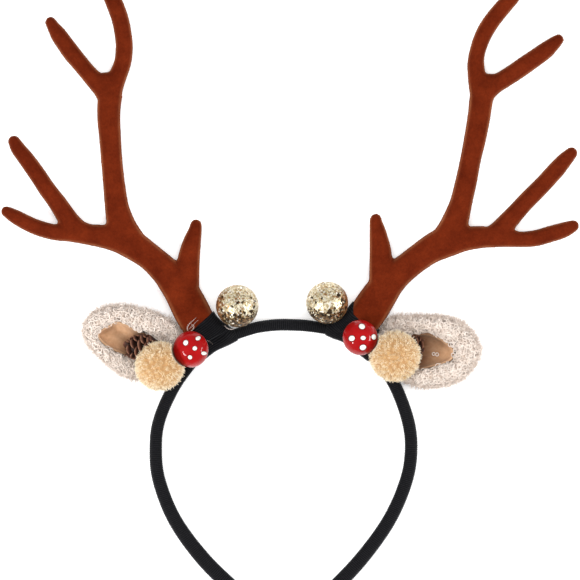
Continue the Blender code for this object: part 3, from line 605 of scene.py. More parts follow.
# Ears: cups of curly fleece with a rolled rim, lined with tan suede and glued behind the antlers.
# The fleece is a padded skin under a pile of yarn loops. The lining is a thin sheet inside it.
EAR_FLOOR = 5.0 * MM
EAR_LIFT = 0.3 * MM
EARS = {
    "left": {
        "spine": [(111, 336), (154, 350)],
        # outline u, outline v, opening u, opening v, rim height
        "rows": [
            (84.3, 331, 97.2, 334.4, 18), (87.5, 320, 101.8, 328.8, 19),
            (97, 311, 109.4, 324.8, 20), (110.5, 305.5, 117.5, 321, 20.5), (125, 304, 127, 324, 20),
            (138, 306, 136, 329.4, 18.5), (150, 309.5, 146, 334, 16.5), (162, 314.5, 155, 340, 14),
            (173, 321, 162, 344.5, 11.5), (181, 332, 166, 349.5, 9.5), (181, 346, 165, 354.5, 9),
            (168, 361, 158, 359.5, 9), (152, 372.5, 147, 361.5, 9.5),
            (138, 378.8, 136.5, 358.2, 12), (125, 376.5, 126.6, 355, 15),
            (112.5, 367.5, 116.4, 351.8, 17), (101, 356.5, 107.4, 347, 18),
            (89, 344.5, 100.4, 340.9, 18),
        ],
    },
    "right": {
        "spine": [(441, 351), (407, 351)],
        "rows": [
            (479.7, 352, 453.8, 353, 18), (476, 339, 451.5, 346.5, 18.5), (468, 328, 446, 342, 19),
            (456, 320, 441.5, 338.8, 19.5), (444, 317.3, 436, 336, 20),
            (431, 316.4, 428, 332.5, 19.5), (417, 316.3, 420, 332.8, 17.5),
            (403, 316.2, 411.5, 335, 15), (391, 317.5, 404, 338.5, 12), (382, 327, 398, 344, 10),
            (379, 341, 396, 351, 9.5), (384, 357, 399, 359, 9.5), (394, 372, 406, 365, 10),
            (408, 382.3, 413.5, 368.3, 12.5), (421, 386.3, 421, 369.3, 15.5),
            (435, 386.6, 431, 367, 17), (450, 383.4, 442.5, 364, 18), (466, 375, 451.2, 359.8, 18),
        ],
    },
}
FLEECE_OUTSIDE = [
    # reach, share of the rim's height; reach 0 is the spine, 1 the opening's edge, 2 the outline
    (0.45, 0.00), (1.25, 0.00), (1.66, 0.04), (1.90, 0.22), (2.00, 0.48), (1.93, 0.74),
    (1.72, 0.93), (1.42, 1.00), (1.16, 0.95), (1.00, 0.83),
]
FLEECE_INSIDE = [
    # reach, share of the way from the floor up to the rim
    (1.02, 0.60), (1.04, 0.42), (0.95, 0.20), (0.72, 0.05), (0.45, 0.00),
]
EAR_STEPS = 4  # rows of the skin to a span of these
SKIN_INSET, SKIN_UNEVEN = 1.0 * MM, 0.3 * MM
PILE_ROWS, RIM_ROWS, RIM_TOP = slice(5, 40), slice(8, 23), 28
LINING_NEAR, LINING_FAR = 0.3 * MM, 1.3 * MM  # the lining's two faces, from the fleece
# How far the painted shade of the cone reaches over the lining.
CONE_SHADE_REACH = {"left": 9.5 * MM, "right": 13.0 * MM}  # how far the lining is dark round the cone
CURLS = 2100
CURL = 1.05 * MM  # a loop's radius
CURL_KINDS = [
    # turns, share of the radius, rise
    (1.05, 1.0, 0.35), (1.3, 0.82, 0.55), (0.8, 1.18, 0.2),
]
CURL_GAP, WISP_GAP = 0.5 * MM, 1.0 * MM  # to the pieces beside
YARN = 0.27 * MM
WISPS = 6000
CREAM = [(0.0, (0.36, 0.25, 0.19)), (0.3, (0.58, 0.46, 0.38)), (0.6, (0.72, 0.61, 0.53)),
         (1.0, (0.88, 0.80, 0.73))]
SKIN_SHADE = 0.22
# Painted shade in the gaps of the loops drawn on the fleece's skin.
SHADE_BETWEEN_LOOPS = (0.56, 0.45, 0.37)


def ear_grid(side, profile):
    """A grid over the ear, a row to each reach and a column to each way out from the spine. A reach
    up to 1 goes from the spine to the opening's edge, up to 2 on to the outline. Each row of the
    profile is a reach, a height for a rim's height, and a distance back towards the spine."""
    rows = smooth_rows(EARS[side]["rows"], 8, closed=True)
    ends = np.array(EARS[side]["spine"])
    way = ends[1] - ends[0]
    outline, opening, rim = rows[:, :2], rows[:, 2:4], rows[:, 4] * MM
    spine = ends[0] + np.clip((opening - ends[0]) @ way / (way @ way), 0.0, 1.0)[:, None] * way
    grid = []
    for reach, height, inset in profile:
        drawn = spine + (opening - spine) * min(reach, 1) + (outline - opening) * max(reach - 1, 0)
        drawn += unit(spine - drawn) * inset / UNIT
        grid.append(place(drawn[:, 0], drawn[:, 1], height(rim)))
    grid = np.array(grid)
    return smooth_rows(grid.reshape(len(grid), -1), EAR_STEPS).reshape(-1, *grid.shape[1:])


def above_floor(share, extra=0.0):
    return lambda rim: EAR_FLOOR + (rim - EAR_FLOOR) * share + extra


def strewn(grid, normals, count, random):
    """Points spread over a grid, and the normals there. Each has an equal share of the area, which
    is counted row by row, and a random place in its cell."""
    beside = np.roll(grid, -1, 1)
    area = np.linalg.norm(np.cross(beside[:-1] - grid[:-1], grid[1:] - grid[:-1]), axis=2)
    total = np.cumsum(area)
    share = (np.arange(count) + random.uniform(0, 1, count)) / count
    row, column = np.divmod(np.searchsorted(total, share * total[-1]), grid.shape[1])
    s, t = random.uniform(size=(2, count, 1))
    after = (column + 1) % grid.shape[1]
    spots, ways = (
        (f[row, column] * (1 - s) + f[row, after] * s) * (1 - t)
        + (f[row + 1, column] * (1 - s) + f[row + 1, after] * s) * t for f in (grid, normals))
    return spots, unit(ways)


def coil(turns, radius, thickness, rise, steps=10, sides=3):
    """A coil of yarn: a circle that rises evenly, inside a tube round its line."""
    angle = np.linspace(0, turns * 2 * math.pi, steps)[:, None]
    slim = np.ones((steps, 1))
    slim[[0, -1]] = 0.55
    out = radius + thickness * slim * np.cos(circle(sides))
    return np.stack([out * np.cos(angle), out * np.sin(angle),
                     rise * angle / (2 * math.pi) + thickness * slim * np.sin(circle(sides))], -1)


def scattered(shape, spots, normals, lean, scale, random):
    """Copies of a shape: the spot plus the scale times its x, y and z along a turned side way, the
    way across that, and the normal, all leaned towards the side way."""
    side_way = unit(np.cross(normals, random.normal(size=normals.shape)))
    lean = lean[:, None]
    frames = np.stack([
        side_way * np.cos(lean) - normals * np.sin(lean), np.cross(normals, side_way),
        normals * np.cos(lean) + side_way * np.sin(lean)], 1)
    copies = scale[:, None, None] * np.einsum("kj,njc->nkc", shape.reshape(-1, 3), frames)
    return (spots[:, None] + copies).reshape(-1, *shape.shape)


def clear_of(points, nodes, gap):
    """Which points lie outside the model's named pieces, at least a gap away."""
    clear = np.ones(len(points), bool)
    for name in nodes:
        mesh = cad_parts[name].data
        tree = BVHTree.FromPolygons([corner.co for corner in mesh.vertices],
                                    [face.vertices for face in mesh.polygons])
        for i in np.flatnonzero(clear):
            spot, normal, _, distance = tree.find_nearest(Vector(points[i]))
            clear[i] = distance > gap and (Vector(points[i]) - spot).dot(normal) > 0
    return clear


def fleece_yarn():
    """Pinkish cream boucle yarn. Each loop has its own shade, and the wool glows at its edges. The
    skin between the loops has rounds of yarn painted on it, pale at a middle reach, with painted
    shade in their middles and between them."""
    material, tree, shader = new_material(
        "boucle_yarn", roughness=0.9, sheen_weight=0.6, sheen_roughness=0.5,
        sheen_tint=(1.0, 0.96, 0.92), specular_ior_level=0.2)
    black, white = (0.0, 0.0, 0.0), (1.0, 1.0, 1.0)
    cells = add_node(tree, "ShaderNodeTexVoronoi", {
        "Vector": add_node(tree, "ShaderNodeTexCoord").outputs["Object"], "Scale": 520.0,
    }).outputs["Distance"]
    # Painted loops on the skin: pale rounds, with painted shade in their middles and between them.
    rounds = ramp(tree, cells, [(0.0, black), (0.30, white), (0.70, black)])
    felt = carried(tree, "felt")
    between = mixed(tree, rounds, SHADE_BETWEEN_LOOPS, CREAM[2][1])
    cream = mixed(tree, felt, ramp(tree, carried(tree, "shade"), CREAM), between)
    twist = blotches(tree, (0.82, 0.80, 0.79), white, 3200.0, 2.0)
    cover(tree, shader, mixed(tree, 1.0, cream, twist, "MULTIPLY"),
          mixed(tree, felt, black, rounds), 0.3 * MM)
    return material


def suede():
    """Tan suede, painted darker towards the cone: painted shade of the cone in the hollow of the
    cup.
    """
    material, tree, shader = new_material(
        "tan_suede", roughness=0.95, sheen_weight=0.3, sheen_roughness=0.5,
        sheen_tint=(1.0, 0.85, 0.7), specular_ior_level=0.15)
    nap = blotches(tree, (0.53, 0.31, 0.17), (0.71, 0.46, 0.28), 420.0, 5.0, 0.65)
    # Painted shade: the nap darkens to a deep brown round the cone.
    cover(tree, shader, mixed(tree, carried(tree, "depth"), nap, (0.15, 0.062, 0.030)),
          noise(tree, 1500.0), 0.12 * MM)
    return material


def make_fleece(side, material, random):
    """The ear: its skin, set in under the pile, loops of three kinds that lean over on it, and fine
    wisps that stand out of the pile at the rim."""
    outside = [(reach, lambda rim, share=share: EAR_LIFT + (rim - EAR_LIFT) * share, 0.0)
               for reach, share in FLEECE_OUTSIDE]
    inside = [(reach, above_floor(share), 0.0) for reach, share in FLEECE_INSIDE]
    grid = ear_grid(side, outside + inside)
    normals = np.cross(np.roll(grid, -1, 1) - np.roll(grid, 1, 1), np.gradient(grid, axis=0))
    normals /= np.linalg.norm(normals, axis=2, keepdims=True) + 1e-12
    normals *= np.sign(normals[RIM_TOP, :, 2].mean())
    skin = grid - normals * (SKIN_INSET - SKIN_UNEVEN * ripples(grid, 5 * MM, 11)[..., None])
    shapes, shades = [above(skin, OVER_TABLE)], [[SKIN_SHADE]]
    neighbours = ["antler_" + side, "wrap_" + side, "band", "pompom_" + side, "pine_cone_" + side]
    for turns, share, rise in CURL_KINDS:
        shape = coil(turns, share * CURL, YARN, rise * CURL)
        spots, ways = strewn(skin[PILE_ROWS], normals[PILE_ROWS], CURLS // 3, random)
        lean = random.triangular(0.0, 0.2, 1.2, len(spots))
        lift = (0.15 + 0.75 * np.sin(lean)) * CURL * share
        spots = spots + ways * lift[:, None]
        kept = clear_of(spots, neighbours, CURL_GAP)
        scale = random.uniform(0.75, 1.15, kept.sum())
        shapes.append(scattered(shape, spots[kept], ways[kept], lean[kept], scale, random))
        shades.append(0.50 + 0.45 * random.beta(2.0, 1.6, kept.sum()))
    t = np.linspace(0, 1, 2)[:, None]
    turn = circle(3)
    slim = 0.034 * (1 - 0.6 * t)
    wisp = np.stack([0.4 * t**2 + slim * np.cos(turn), 0.15 * np.sin(3 * t) + slim * np.sin(turn),
                     t + 0 * turn], -1)
    spots, ways = strewn(skin[RIM_ROWS], normals[RIM_ROWS], WISPS, random)
    kept = clear_of(spots, neighbours, WISP_GAP)
    lean = random.normal(0, 0.5, kept.sum())
    scale = random.triangular(1.2, 1.8, 4.2, kept.sum()) * MM
    shapes.append(scattered(wisp, spots[kept], ways[kept], lean, scale, random))
    shades.append(random.uniform(0.3, 0.7, kept.sum()))
    shapes[1:] = [above(shape, OVER_TABLE / 2) for shape in shapes[1:]]
    ear = add_piece("curly_ear_" + side, joined(*shapes), [material],
                    ["ear_fleece_" + side])
    tag(ear, "shade", np.concatenate([
        np.repeat(shade, shape[..., 0].size // len(shade))
        for shape, shade in zip(shapes, shades)]))
    tag(ear, "felt", np.arange(len(ear.data.vertices)) < skin[..., 0].size)


def cad_corners(name):
    """The low and high corners of one piece of the model."""
    return (np.array(corner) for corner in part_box(name))


def make_lining(side, material):
    """The lining: a near face against the fleece and a far one, joined at the opening's edge."""
    outer = [(reach, above_floor(share, LINING_NEAR), LINING_NEAR)
             for reach, share in FLEECE_INSIDE[::-1]]
    inner = [(reach, above_floor(share, LINING_FAR if i else LINING_NEAR), LINING_FAR)
             for i, (reach, share) in enumerate(FLEECE_INSIDE)]
    back, front = ear_grid(side, outer), ear_grid(side, inner)
    front[..., 2] += 0.22 * MM * (ripples(front, 11 * MM, 21) + 0.5 * ripples(front, 4 * MM, 22))
    grid = np.concatenate([back, front])
    lining = add_piece("suede_lining_" + side, joined(grid), [material],
                       ["ear_lining_" + side])
    # Painted shade round the cone, strongest next to it and fading with distance.
    low, high = cad_corners("pine_cone_" + side)
    away = np.linalg.norm((grid - (low + high) / 2)[..., :2], axis=2)
    tag(lining, "depth", np.clip(np.exp(-(away / CONE_SHADE_REACH[side]) ** 2) * 1.25, 0, 1).ravel())


wool, tan_suede = fleece_yarn(), suede()
for side, seed in zip(SIDES, (31, 32)):
    make_fleece(side, wool, np.random.default_rng(seed))
    make_lining(side, tan_suede)

# Pine cones: small natural cones glued into the ears, lying with their tips outwards.
# Woody scales stand round a spindle at the golden angle, each a curved tongue with a thick end.
CONES = {
    # tip u, tip v, base u, base v, radius, tip's height above the base's
    "left": (123.8, 349.6, 157, 344.2, 11.2, 2.5),
    "right": (425, 345, 402, 346.5, 10, 0.5),
}
CONE_PROFILE = [
    # share of the length from tip to base, share of the radius
    (0.00, 0.12), (0.06, 0.45), (0.16, 0.68), (0.28, 0.84), (0.40, 0.95), (0.53, 1.00),
    (0.66, 0.98), (0.78, 0.88), (0.89, 0.70), (0.97, 0.42), (1.00, 0.15),
]
TONGUE = np.array([
    # share of the way along, half width, half thickness
    (0.0, 0.35, 0.30), (0.35, 0.62, 0.35), (0.65, 0.92, 0.45), (0.85, 1.0, 0.85),
    (0.97, 0.75, 0.80), (1.03, 0.25, 0.25),
])
SCALES = 38
GOLDEN = math.pi * (3 - 5**0.5)
# Browns of the scales: the darkest is painted shade at the roots between the scales, the palest is
# at the tips.
SCALE_BROWNS_AND_ROOT_SHADE = [(0.0, (0.020, 0.007, 0.004)), (0.45, (0.085, 0.030, 0.018)), (0.8, (0.24, 0.100, 0.056)),
        (1.0, (0.40, 0.22, 0.14))]


def cone_wood():
    """Brown scales, darkened by painted shade at the root, between the scales, and paler towards
    the tip and sides, with a fine grain along them.
    """
    material, tree, shader = new_material("cone_scale", roughness=0.7, specular_ior_level=0.35)
    grain = blotches(tree, (0.6, 0.58, 0.56), (1.0, 1.0, 1.0), 1500.0, 4.0, 0.7)
    bark = mixed(tree, 1.0, ramp(tree, carried(tree, "painted_lightness"), SCALE_BROWNS_AND_ROOT_SHADE), grain, "MULTIPLY")
    cover(tree, shader, bark, noise(tree, 1900.0), 0.15 * MM)
    return material


def make_cone(side, material):
    """The cone: a spindle, and scales whose roots are set in it. Each scale is its root plus the
    way to its end, its width times the cosine across, and its thickness times the sine upwards."""
    tip_u, tip_v, base_u, base_v, radius, rise = CONES[side]
    low, high = cad_corners("pine_cone_" + side)
    middle = (low + high)[2] / 2
    tip = place(tip_u, tip_v, middle + rise * MM / 2)
    axis = place(base_u, base_v, middle - rise * MM / 2) - tip
    length = np.linalg.norm(axis)
    axis /= length
    first = np.cross(axis, (0.0, 0.0, 1.0))
    first /= np.linalg.norm(first)
    second = np.cross(axis, first)

    def outward(angle):
        return first * np.cos(angle)[:, None] + second * np.sin(angle)[:, None]

    profile = np.array(CONE_PROFILE)
    core = (tip + axis * length * (0.08 + 0.88 * profile[:, :1]))[:, None] \
        + outward(circle(24)) * profile[:, 1, None, None] * radius * UNIT * 0.62
    t, width, thick = TONGUE.T[..., None]
    turn = circle(8)
    share = 0.05 + 0.90 * ((np.arange(SCALES) + 0.5) / SCALES) ** 0.85
    out = outward(np.arange(SCALES) * GOLDEN)
    reach = np.interp(share, profile[:, 0], profile[:, 1]) * radius * UNIT * 1.06
    root = tip + axis * (length * (share + 0.17))[:, None] + out * (reach * 0.35)[:, None]
    along = tip + axis * (length * (share - 0.06))[:, None] + out * reach[:, None] - root
    broad = np.cross(axis, out)
    up = unit(np.cross(along, broad))
    size = (0.20 + 0.42 * reach / (radius * UNIT)) * radius * UNIT * 0.92
    across = width * np.cos(turn)
    upwards = 0.16 * thick * np.sin(turn) + 0.22 * across**2
    tongues = (root[:, None, None] + along[:, None, None] * t[None, :, :, None]
               + broad[:, None, None] * (size[:, None, None] * across)[..., None]
               + up[:, None, None] * (size[:, None, None] * upwards)[..., None])
    cone = add_piece("scaled_cone_" + side, joined(core, tongues), [material],
                     ["pine_cone_" + side])
    # Painted shade at each scale's root, between the scales; the scale is paler towards its tip and
    # sides.
    painted_lightness = np.clip(t - 0.15, 0, 1) ** 2.5 * (0.95 + 0.55 * np.cos(turn) ** 4)
    painted_lightness = np.tile(painted_lightness.ravel(), SCALES)
    tag(cone, "painted_lightness", np.concatenate([np.zeros(core[..., 0].size), painted_lightness]))


wood = cone_wood()
for side in SIDES:
    make_cone(side, wood)

# Pompoms: balls of tan yarn, tied at the middle and trimmed round. The yarn's ends open into small
# brushes that press on each other, so each pompom is a core with brushes of fibres all over it.
POMPOMS = {
    # u, v, radius, height
    "left": (160.2, 365.4, 24.9, 17.5),
    "right": (394.6, 356, 25.4, 17.5),
}
CORE_ROWS, CORE_AROUND = 50, 100
TUFTS = 300
FIBRES = 24
TUFT_RELIEF = 0.38 * MM
FIBRE = [
    # radius and shade at the root, near the end and at the end; the shade is painted, dark deep in
    # the yarn and pale at the fuzzy ends
    (0.16 * MM, 0.45), (0.16 * MM, 0.9), (0.10 * MM, 1.55),
]
CORE_INSET, ROOT_DEPTH = 0.7 * MM, 2.6 * MM
STRAYS = 0.18  # share of the fibres that stand out of the ball
# Tans of the yarn, from painted shade deep in the pompom to painted light at the fibre ends.
TAN_YARN = [(0.0, (0.40, 0.225, 0.095)), (0.45, (0.575, 0.36, 0.163)), (0.75, (0.71, 0.53, 0.295)),
            (1.0, (0.86, 0.77, 0.61))]


def lathe(profile, around):
    """A profile of radius and height turned round the upright axis, ring by ring."""
    turn = circle(around)
    return np.stack([profile[:, :1] * np.cos(turn), profile[:, :1] * np.sin(turn),
                     profile[:, 1:] + 0 * turn], -1)


def ball_grid(rows, around):
    """A ball of radius 1: rings of latitude between two small rings at its poles."""
    polar = np.linspace(0.02, math.pi - 0.02, rows)
    return lathe(np.column_stack([np.sin(polar), np.cos(polar)]), around)


def on_ball(count, jitter, random):
    """Ways spaced evenly over a ball: heights evenly from pole to pole, each turned by the golden
    angle from the one before. Each is moved a little at random."""
    height = 1 - 2 * (np.arange(count) + 0.5) / count
    angle = np.arange(count) * GOLDEN
    wide = np.sqrt(1 - height**2)
    ways = np.stack([wide * np.cos(angle), wide * np.sin(angle), height], -1)
    return unit(ways + random.normal(0, jitter, ways.shape))


def pompom_yarn():
    """Tan yarn with its own shade to each fibre, with painted shade towards the roots and painted
    light at the trimmed ends.
    """
    material, tree, shader = new_material(
        "tan_yarn", roughness=0.9, sheen_weight=1.0, sheen_roughness=0.45,
        sheen_tint=(1.0, 0.94, 0.82), specular_ior_level=0.2)
    tree.links.new(ramp(tree, carried(tree, "shade"), TAN_YARN), shader.inputs["Base Color"])
    return material


def make_pompom(side, material, random):
    """The pompom. Each fibre leaves its brush's root and leans out by up to the brush's half width.
    It ends at the radius less the relief times the square of how far it leans."""
    u, v, radius, height = POMPOMS[side]
    centre, radius = place(u, v, height * MM), radius * UNIT
    tufts = on_ball(TUFTS, 0.035, random)
    spacing = math.sqrt(4 * math.pi / TUFTS) / 2
    core = ball_grid(CORE_ROWS, CORE_AROUND).reshape(-1, 3)
    gap = np.arccos(np.clip((core @ tufts.T).max(1), -1, 1)) / spacing
    core = core * (radius - CORE_INSET - TUFT_RELIEF * np.clip(gap, 0, 1.3) ** 2)[:, None]
    brush = np.repeat(tufts, FIBRES, axis=0)
    count = len(brush)
    spread = random.normal(size=(count, 3))
    spread = unit(spread - brush * (spread * brush).sum(1)[:, None])
    off = np.sqrt(random.uniform(0, 1, count)) * 1.2
    way = unit(brush + spread * (off * spacing)[:, None])
    strays = random.uniform(size=count) < STRAYS
    stray = np.where(strays, random.uniform(0.2, 1.1, count), 0.0) * MM
    reach = radius * (1 + random.normal(0, 0.016, count)) - TUFT_RELIEF * off**2 + stray
    ends = way * reach[:, None]
    roots = (brush * 0.35 + way * 0.65) * (radius - ROOT_DEPTH)
    run = ends - roots
    side_way = unit(np.cross(run, random.normal(size=run.shape)))
    other = np.cross(side_way, unit(run))
    turn = circle(3)
    ring = side_way[:, None] * np.cos(turn)[:, None] + other[:, None] * np.sin(turn)[:, None]
    fibres = np.stack([stop[:, None] + ring * thick for stop, (thick, _) in
                       zip((roots, roots * 0.42 + ends * 0.58, ends), FIBRE)], 1)
    keep = clear_of(centre + ends, ["mushroom_cap_" + side, "band", "wrap_" + side], 0.25 * MM)
    points, faces = joined(core.reshape(CORE_ROWS, CORE_AROUND, 3), fibres[keep])
    points += centre
    # Nothing hangs over the mushroom beside it: yarn above the cap's rim is pressed back from it.
    low, high = cad_corners("mushroom_cap_" + side)
    middle, room = (low + high) / 2, (high - low)[:2].mean() / 2 + 0.35 * MM
    away = points[:, :2] - middle[:2]
    distance = np.linalg.norm(away, axis=1)
    over = (distance < room) & (points[:, 2] > low[2] - 1 * MM)
    points[over, :2] = middle[:2] + away[over] / distance[over, None] * room
    pompom = add_piece("yarn_pompom_" + side, (points, faces), [material],
                       ["pompom_" + side])
    # Painted shade and light: the core, the fibres' roots and the edges of each brush are darker,
    # as shade deep in the yarn, and the ends and the stray fibres paler, as light on the fuzzy rim.
    # Brushes and fibres also vary at random.
    tuft_shade = np.repeat(random.normal(0, 0.07, TUFTS), FIBRES)
    shade = random.normal(0.64, 0.10, count) + tuft_shade - 0.20 * off**2 + 0.2 * (stray > 0)
    along = np.repeat([shade_there for _, shade_there in FIBRE], 3)
    tag(pompom, "shade", np.concatenate([
        np.clip(0.35 - 0.3 * gap, 0, 1),
        (np.clip(shade, 0, 1)[keep][:, None] * along).clip(0, 1).ravel()]))


tan_yarn = pompom_yarn()
for side, seed in zip(SIDES, (41, 42)):
    make_pompom(side, tan_yarn, np.random.default_rng(seed))

# Mushrooms: turned caps in glossy red lacquer, each with five raised white dots and a pale hollow
# underside, glued on a plain stem.
MUSHROOMS = {
    # u, v, radius, rim's height, lean outwards, lean down (degrees)
    "left": (191, 349, 18.2, 18, 14, 2),
    "right": (360, 337.2, 17.7, 18, 10, -4),
}
CAP_PROFILE = [
    # radius, height
    (0.00, 0.80), (0.30, 0.77), (0.57, 0.66), (0.79, 0.48), (0.93, 0.25), (1.00, 0.02),
    (0.97, -0.09), (0.86, -0.12), (0.50, -0.02), (0.00, 0.00),
]
CAP_STEPS, CAP_AROUND = 6, 64
CAP_DOME = 31  # rings of the dome, from its top to where the lacquer ends under the rim
DOTS = {
    # u, v, width, height
    "left": [
        (186.4, 342.4, 5.9, 5.9), (198.6, 338, 4.6, 4.6), (195.5, 347.9, 4.8, 4.8),
        (204.3, 352.9, 4.2, 4.2), (190.7, 356.8, 4.8, 4.8),
    ],
    "right": [
        (361.5, 326.2, 7, 6.4), (351.4, 338, 6.2, 6.2), (362.6, 337.6, 6, 4.8),
        (373.3, 336.7, 6.2, 6.2), (362.5, 347, 7.5, 6),
    ],
}
DOT_RELIEF, DOT_SUNK = 0.32 * MM, 0.06 * MM
DOT_SIZE = 0.86  # of its drawn size
DOT_RINGS = np.array([0.04, 0.3, 0.55, 0.75, 0.9, 1.0, 1.14, 1.26])[:, None]
RED, WHITE, PALE, DOT_EDGE = range(4)


def lacquer(name, first, second):
    """Thick gloss paint: a bright colour, a little uneven, under a clear coat like orange peel."""
    material, tree, shader = new_material(
        name, roughness=0.5, coat_weight=1.0, coat_roughness=0.05, coat_ior=1.24,
        specular_ior_level=0.05)
    cover(tree, shader, blotches(tree, first, second, 160.0), noise(tree, 320.0, 2.0), 0.02 * MM)
    return material


def foam():
    material, tree, shader = new_material("stem_foam", roughness=0.85, specular_ior_level=0.2)
    cover(tree, shader, blotches(tree, (0.60, 0.52, 0.40), (0.76, 0.68, 0.56), 900.0),
          noise(tree, 1600.0), 0.15 * MM)
    return material


def make_mushroom(side, materials, stem_material):
    """The cap, turned from its profile and leaning. A dot is a raised patch on the dome: its height
    over the dome is a half circle's, and it stands where it is seen at its place."""
    u, v, radius, height, lean_out, lean_down = MUSHROOMS[side]
    out = math.radians(lean_out) * (-1 if side == "left" else 1)
    down = math.radians(lean_down)
    lean = np.array([
        [math.cos(out), 0.0, math.sin(out)], [0.0, 1.0, 0.0], [-math.sin(out), 0.0, math.cos(out)],
    ]) @ np.array([
        [1.0, 0.0, 0.0], [0.0, math.cos(down), -math.sin(down)],
        [0.0, math.sin(down), math.cos(down)],
    ])
    profile = smooth_rows(CAP_PROFILE, CAP_STEPS) * radius * UNIT
    profile[0, 0] = profile[-1, 0] = 0.02 * MM
    tubes = [lathe(profile, CAP_AROUND)]
    ring_of_face = np.repeat(np.arange(len(profile) - 1), CAP_AROUND)
    slots = [np.where(ring_of_face >= CAP_DOME, PALE, RED), [RED], [PALE]]
    dome_r, dome_z = profile[:CAP_DOME].T
    slope = np.gradient(dome_z) / np.gradient(dome_r)
    turn = circle(20)
    for dot_u, dot_v, wide, high in DOTS[side]:
        seen = np.array([(dot_u - u) * UNIT, (v - dot_v) * UNIT])
        spot = seen.copy()
        for _ in range(8):
            up = np.interp(np.hypot(*spot), dome_r, dome_z)
            spot += seen - (lean @ np.array([*spot, up]))[:2]
        x = spot[0] + DOT_SIZE * wide * UNIT / 2 * DOT_RINGS * np.cos(turn)
        y = spot[1] + DOT_SIZE * high * UNIT / 2 * DOT_RINGS * np.sin(turn)
        r = np.hypot(x, y)
        rise = DOT_RELIEF * (np.sqrt(np.maximum(1 - DOT_RINGS**2, 0)) + 0.16)
        rise = rise - DOT_SUNK * (DOT_RINGS > 1.2)
        tilt = np.interp(r, dome_r, slope)
        normal = unit(np.stack([-tilt * x / r, -tilt * y / r, np.ones_like(r)], -1))
        tubes.append(np.stack([x, y, np.interp(r, dome_r, dome_z)], -1) + normal * rise[..., None])
        # Painted shade: the outer rings of each dot, round its raised edge, take the dark edge
        # colour.
        painted = np.where(DOT_RINGS[:-1, 0] < 0.99, WHITE, DOT_EDGE)
        slots += [np.repeat(painted, len(turn)), [WHITE], [DOT_EDGE]]
    local, faces = joined(*tubes)
    points = local @ lean.T + place(u, v, height * MM)
    mushroom = add_piece("lacquered_cap_" + side, (points, faces), materials,
                         ["mushroom_cap_" + side])
    mushroom.data.polygons.foreach_set("material_index", np.concatenate(slots).astype(np.int32))
    for material_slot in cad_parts["mushroom_stem_" + side].material_slots:
        material_slot.material = stem_material


cap_coats = [
    lacquer("red_lacquer", (0.245, 0.0010, 0.0018), (0.32, 0.0016, 0.0026)),
    lacquer("white_dots", (0.62, 0.60, 0.56), (0.70, 0.69, 0.66)),
    lacquer("pale_underside", (0.50, 0.33, 0.30), (0.60, 0.44, 0.40)),
    # Dark ring round the dots: painted shade at their raised edges.
    lacquer("dot_edge", (0.060, 0.0012, 0.0020), (0.085, 0.0018, 0.0030)),
]
stem_foam = foam()
for side in SIDES:
    make_mushroom(side, cap_coats, stem_foam)

# Glitter balls: foam balls rolled in champagne glitter, glued on the band between the antlers.
# Small five-sided flakes lie at random tilts over the ball, and dark ones gather low down as
# painted shade and painted reflection.
BALLS = {
    # u, v, radius
    "left": (237.4, 306, 21.4),
    "right": (327, 302.6, 21.2),
}
BALL_ROWS, BALL_AROUND = 24, 48
FOAM_INSET = 0.42 * MM
FLAKES = 3000
FLAKE_SIDES = 5
FLAKE_HALF = 0.06  # half a flake's thickness, as a share of its radius
CHAMPAGNE = np.array([
    (0.67, 0.58, 0.39), (0.76, 0.70, 0.54), (0.52, 0.41, 0.23), (0.88, 0.84, 0.74),
    (0.36, 0.22, 0.10),
])
CHAMPAGNE_SHARES = (0.31, 0.23, 0.24, 0.11, 0.11)
# Colour of the flecks: painted dark reflections and shade between the flakes.
PAINTED_DARK_FLECK = np.array((0.032, 0.017, 0.006))
# Colour of the flakes low down and round the rim: painted shade and painted reflection of the dark
# band.
DARK_SHADE_BRONZE = np.array((0.105, 0.058, 0.022))
RUST_FILM = np.array((0.34, 0.15, 0.055))
FOAM = (0.30, 0.25, 0.15)
FLECK_REACH = 1.65  # of a fleck's drawn width
FLECK_SUNK = 0.10 * MM
FLECKS = {
    # u, v and width of the dark flecks, which are painted dark reflections and shade between the
    # flakes
    "left": [
        (238, 302.6, 2.6), (242.6, 302.4, 2.4), (232.6, 306.8, 2.2), (235, 314.6, 2.8),
        (239.6, 316.8, 2.8), (229.4, 313, 2.6), (224.6, 316, 3), (227.2, 319.6, 3),
        (233.4, 321.4, 2.4), (241.6, 321, 2.6), (244.8, 312.2, 2.2), (252.2, 311.6, 3),
        (254.6, 307, 2.6), (247.2, 319.4, 2.2), (251.8, 317, 2.4), (222.2, 309.8, 2.2),
        (240.8, 311.4, 1.8), (251.6, 297.6, 2), (255.4, 301, 2), (236.4, 324, 2), (222.6, 296.4, 2),
        (245.4, 324.2, 1.8),
    ],
    "right": [
        (338.4, 294.8, 3.2), (342, 299.6, 3), (343, 304.6, 2.4), (345.8, 308.4, 2.6),
        (340.6, 309.6, 2.8), (329.2, 311.8, 3.4), (323.2, 314.8, 3.2), (330.4, 316.6, 2.6),
        (313, 315.6, 3), (341.4, 314, 2.6), (337.8, 317.4, 2.2), (334, 309, 1.8), (311.8, 297.6, 2),
        (315.4, 302, 1.8), (321.8, 298, 1.6), (318, 319, 2.4), (326, 321, 2.2), (345, 301.8, 2.2),
        (310.6, 309, 2), (315.8, 311.2, 1.8),
    ],
}


def glitter():
    """Metallised film in the flake's own colour."""
    material, tree, shader = new_material(
        "champagne_glitter", metallic=0.60, roughness=0.42, specular_ior_level=0.5)
    tree.links.new(carried(tree, "flake", "Color"), shader.inputs["Base Color"])
    return material


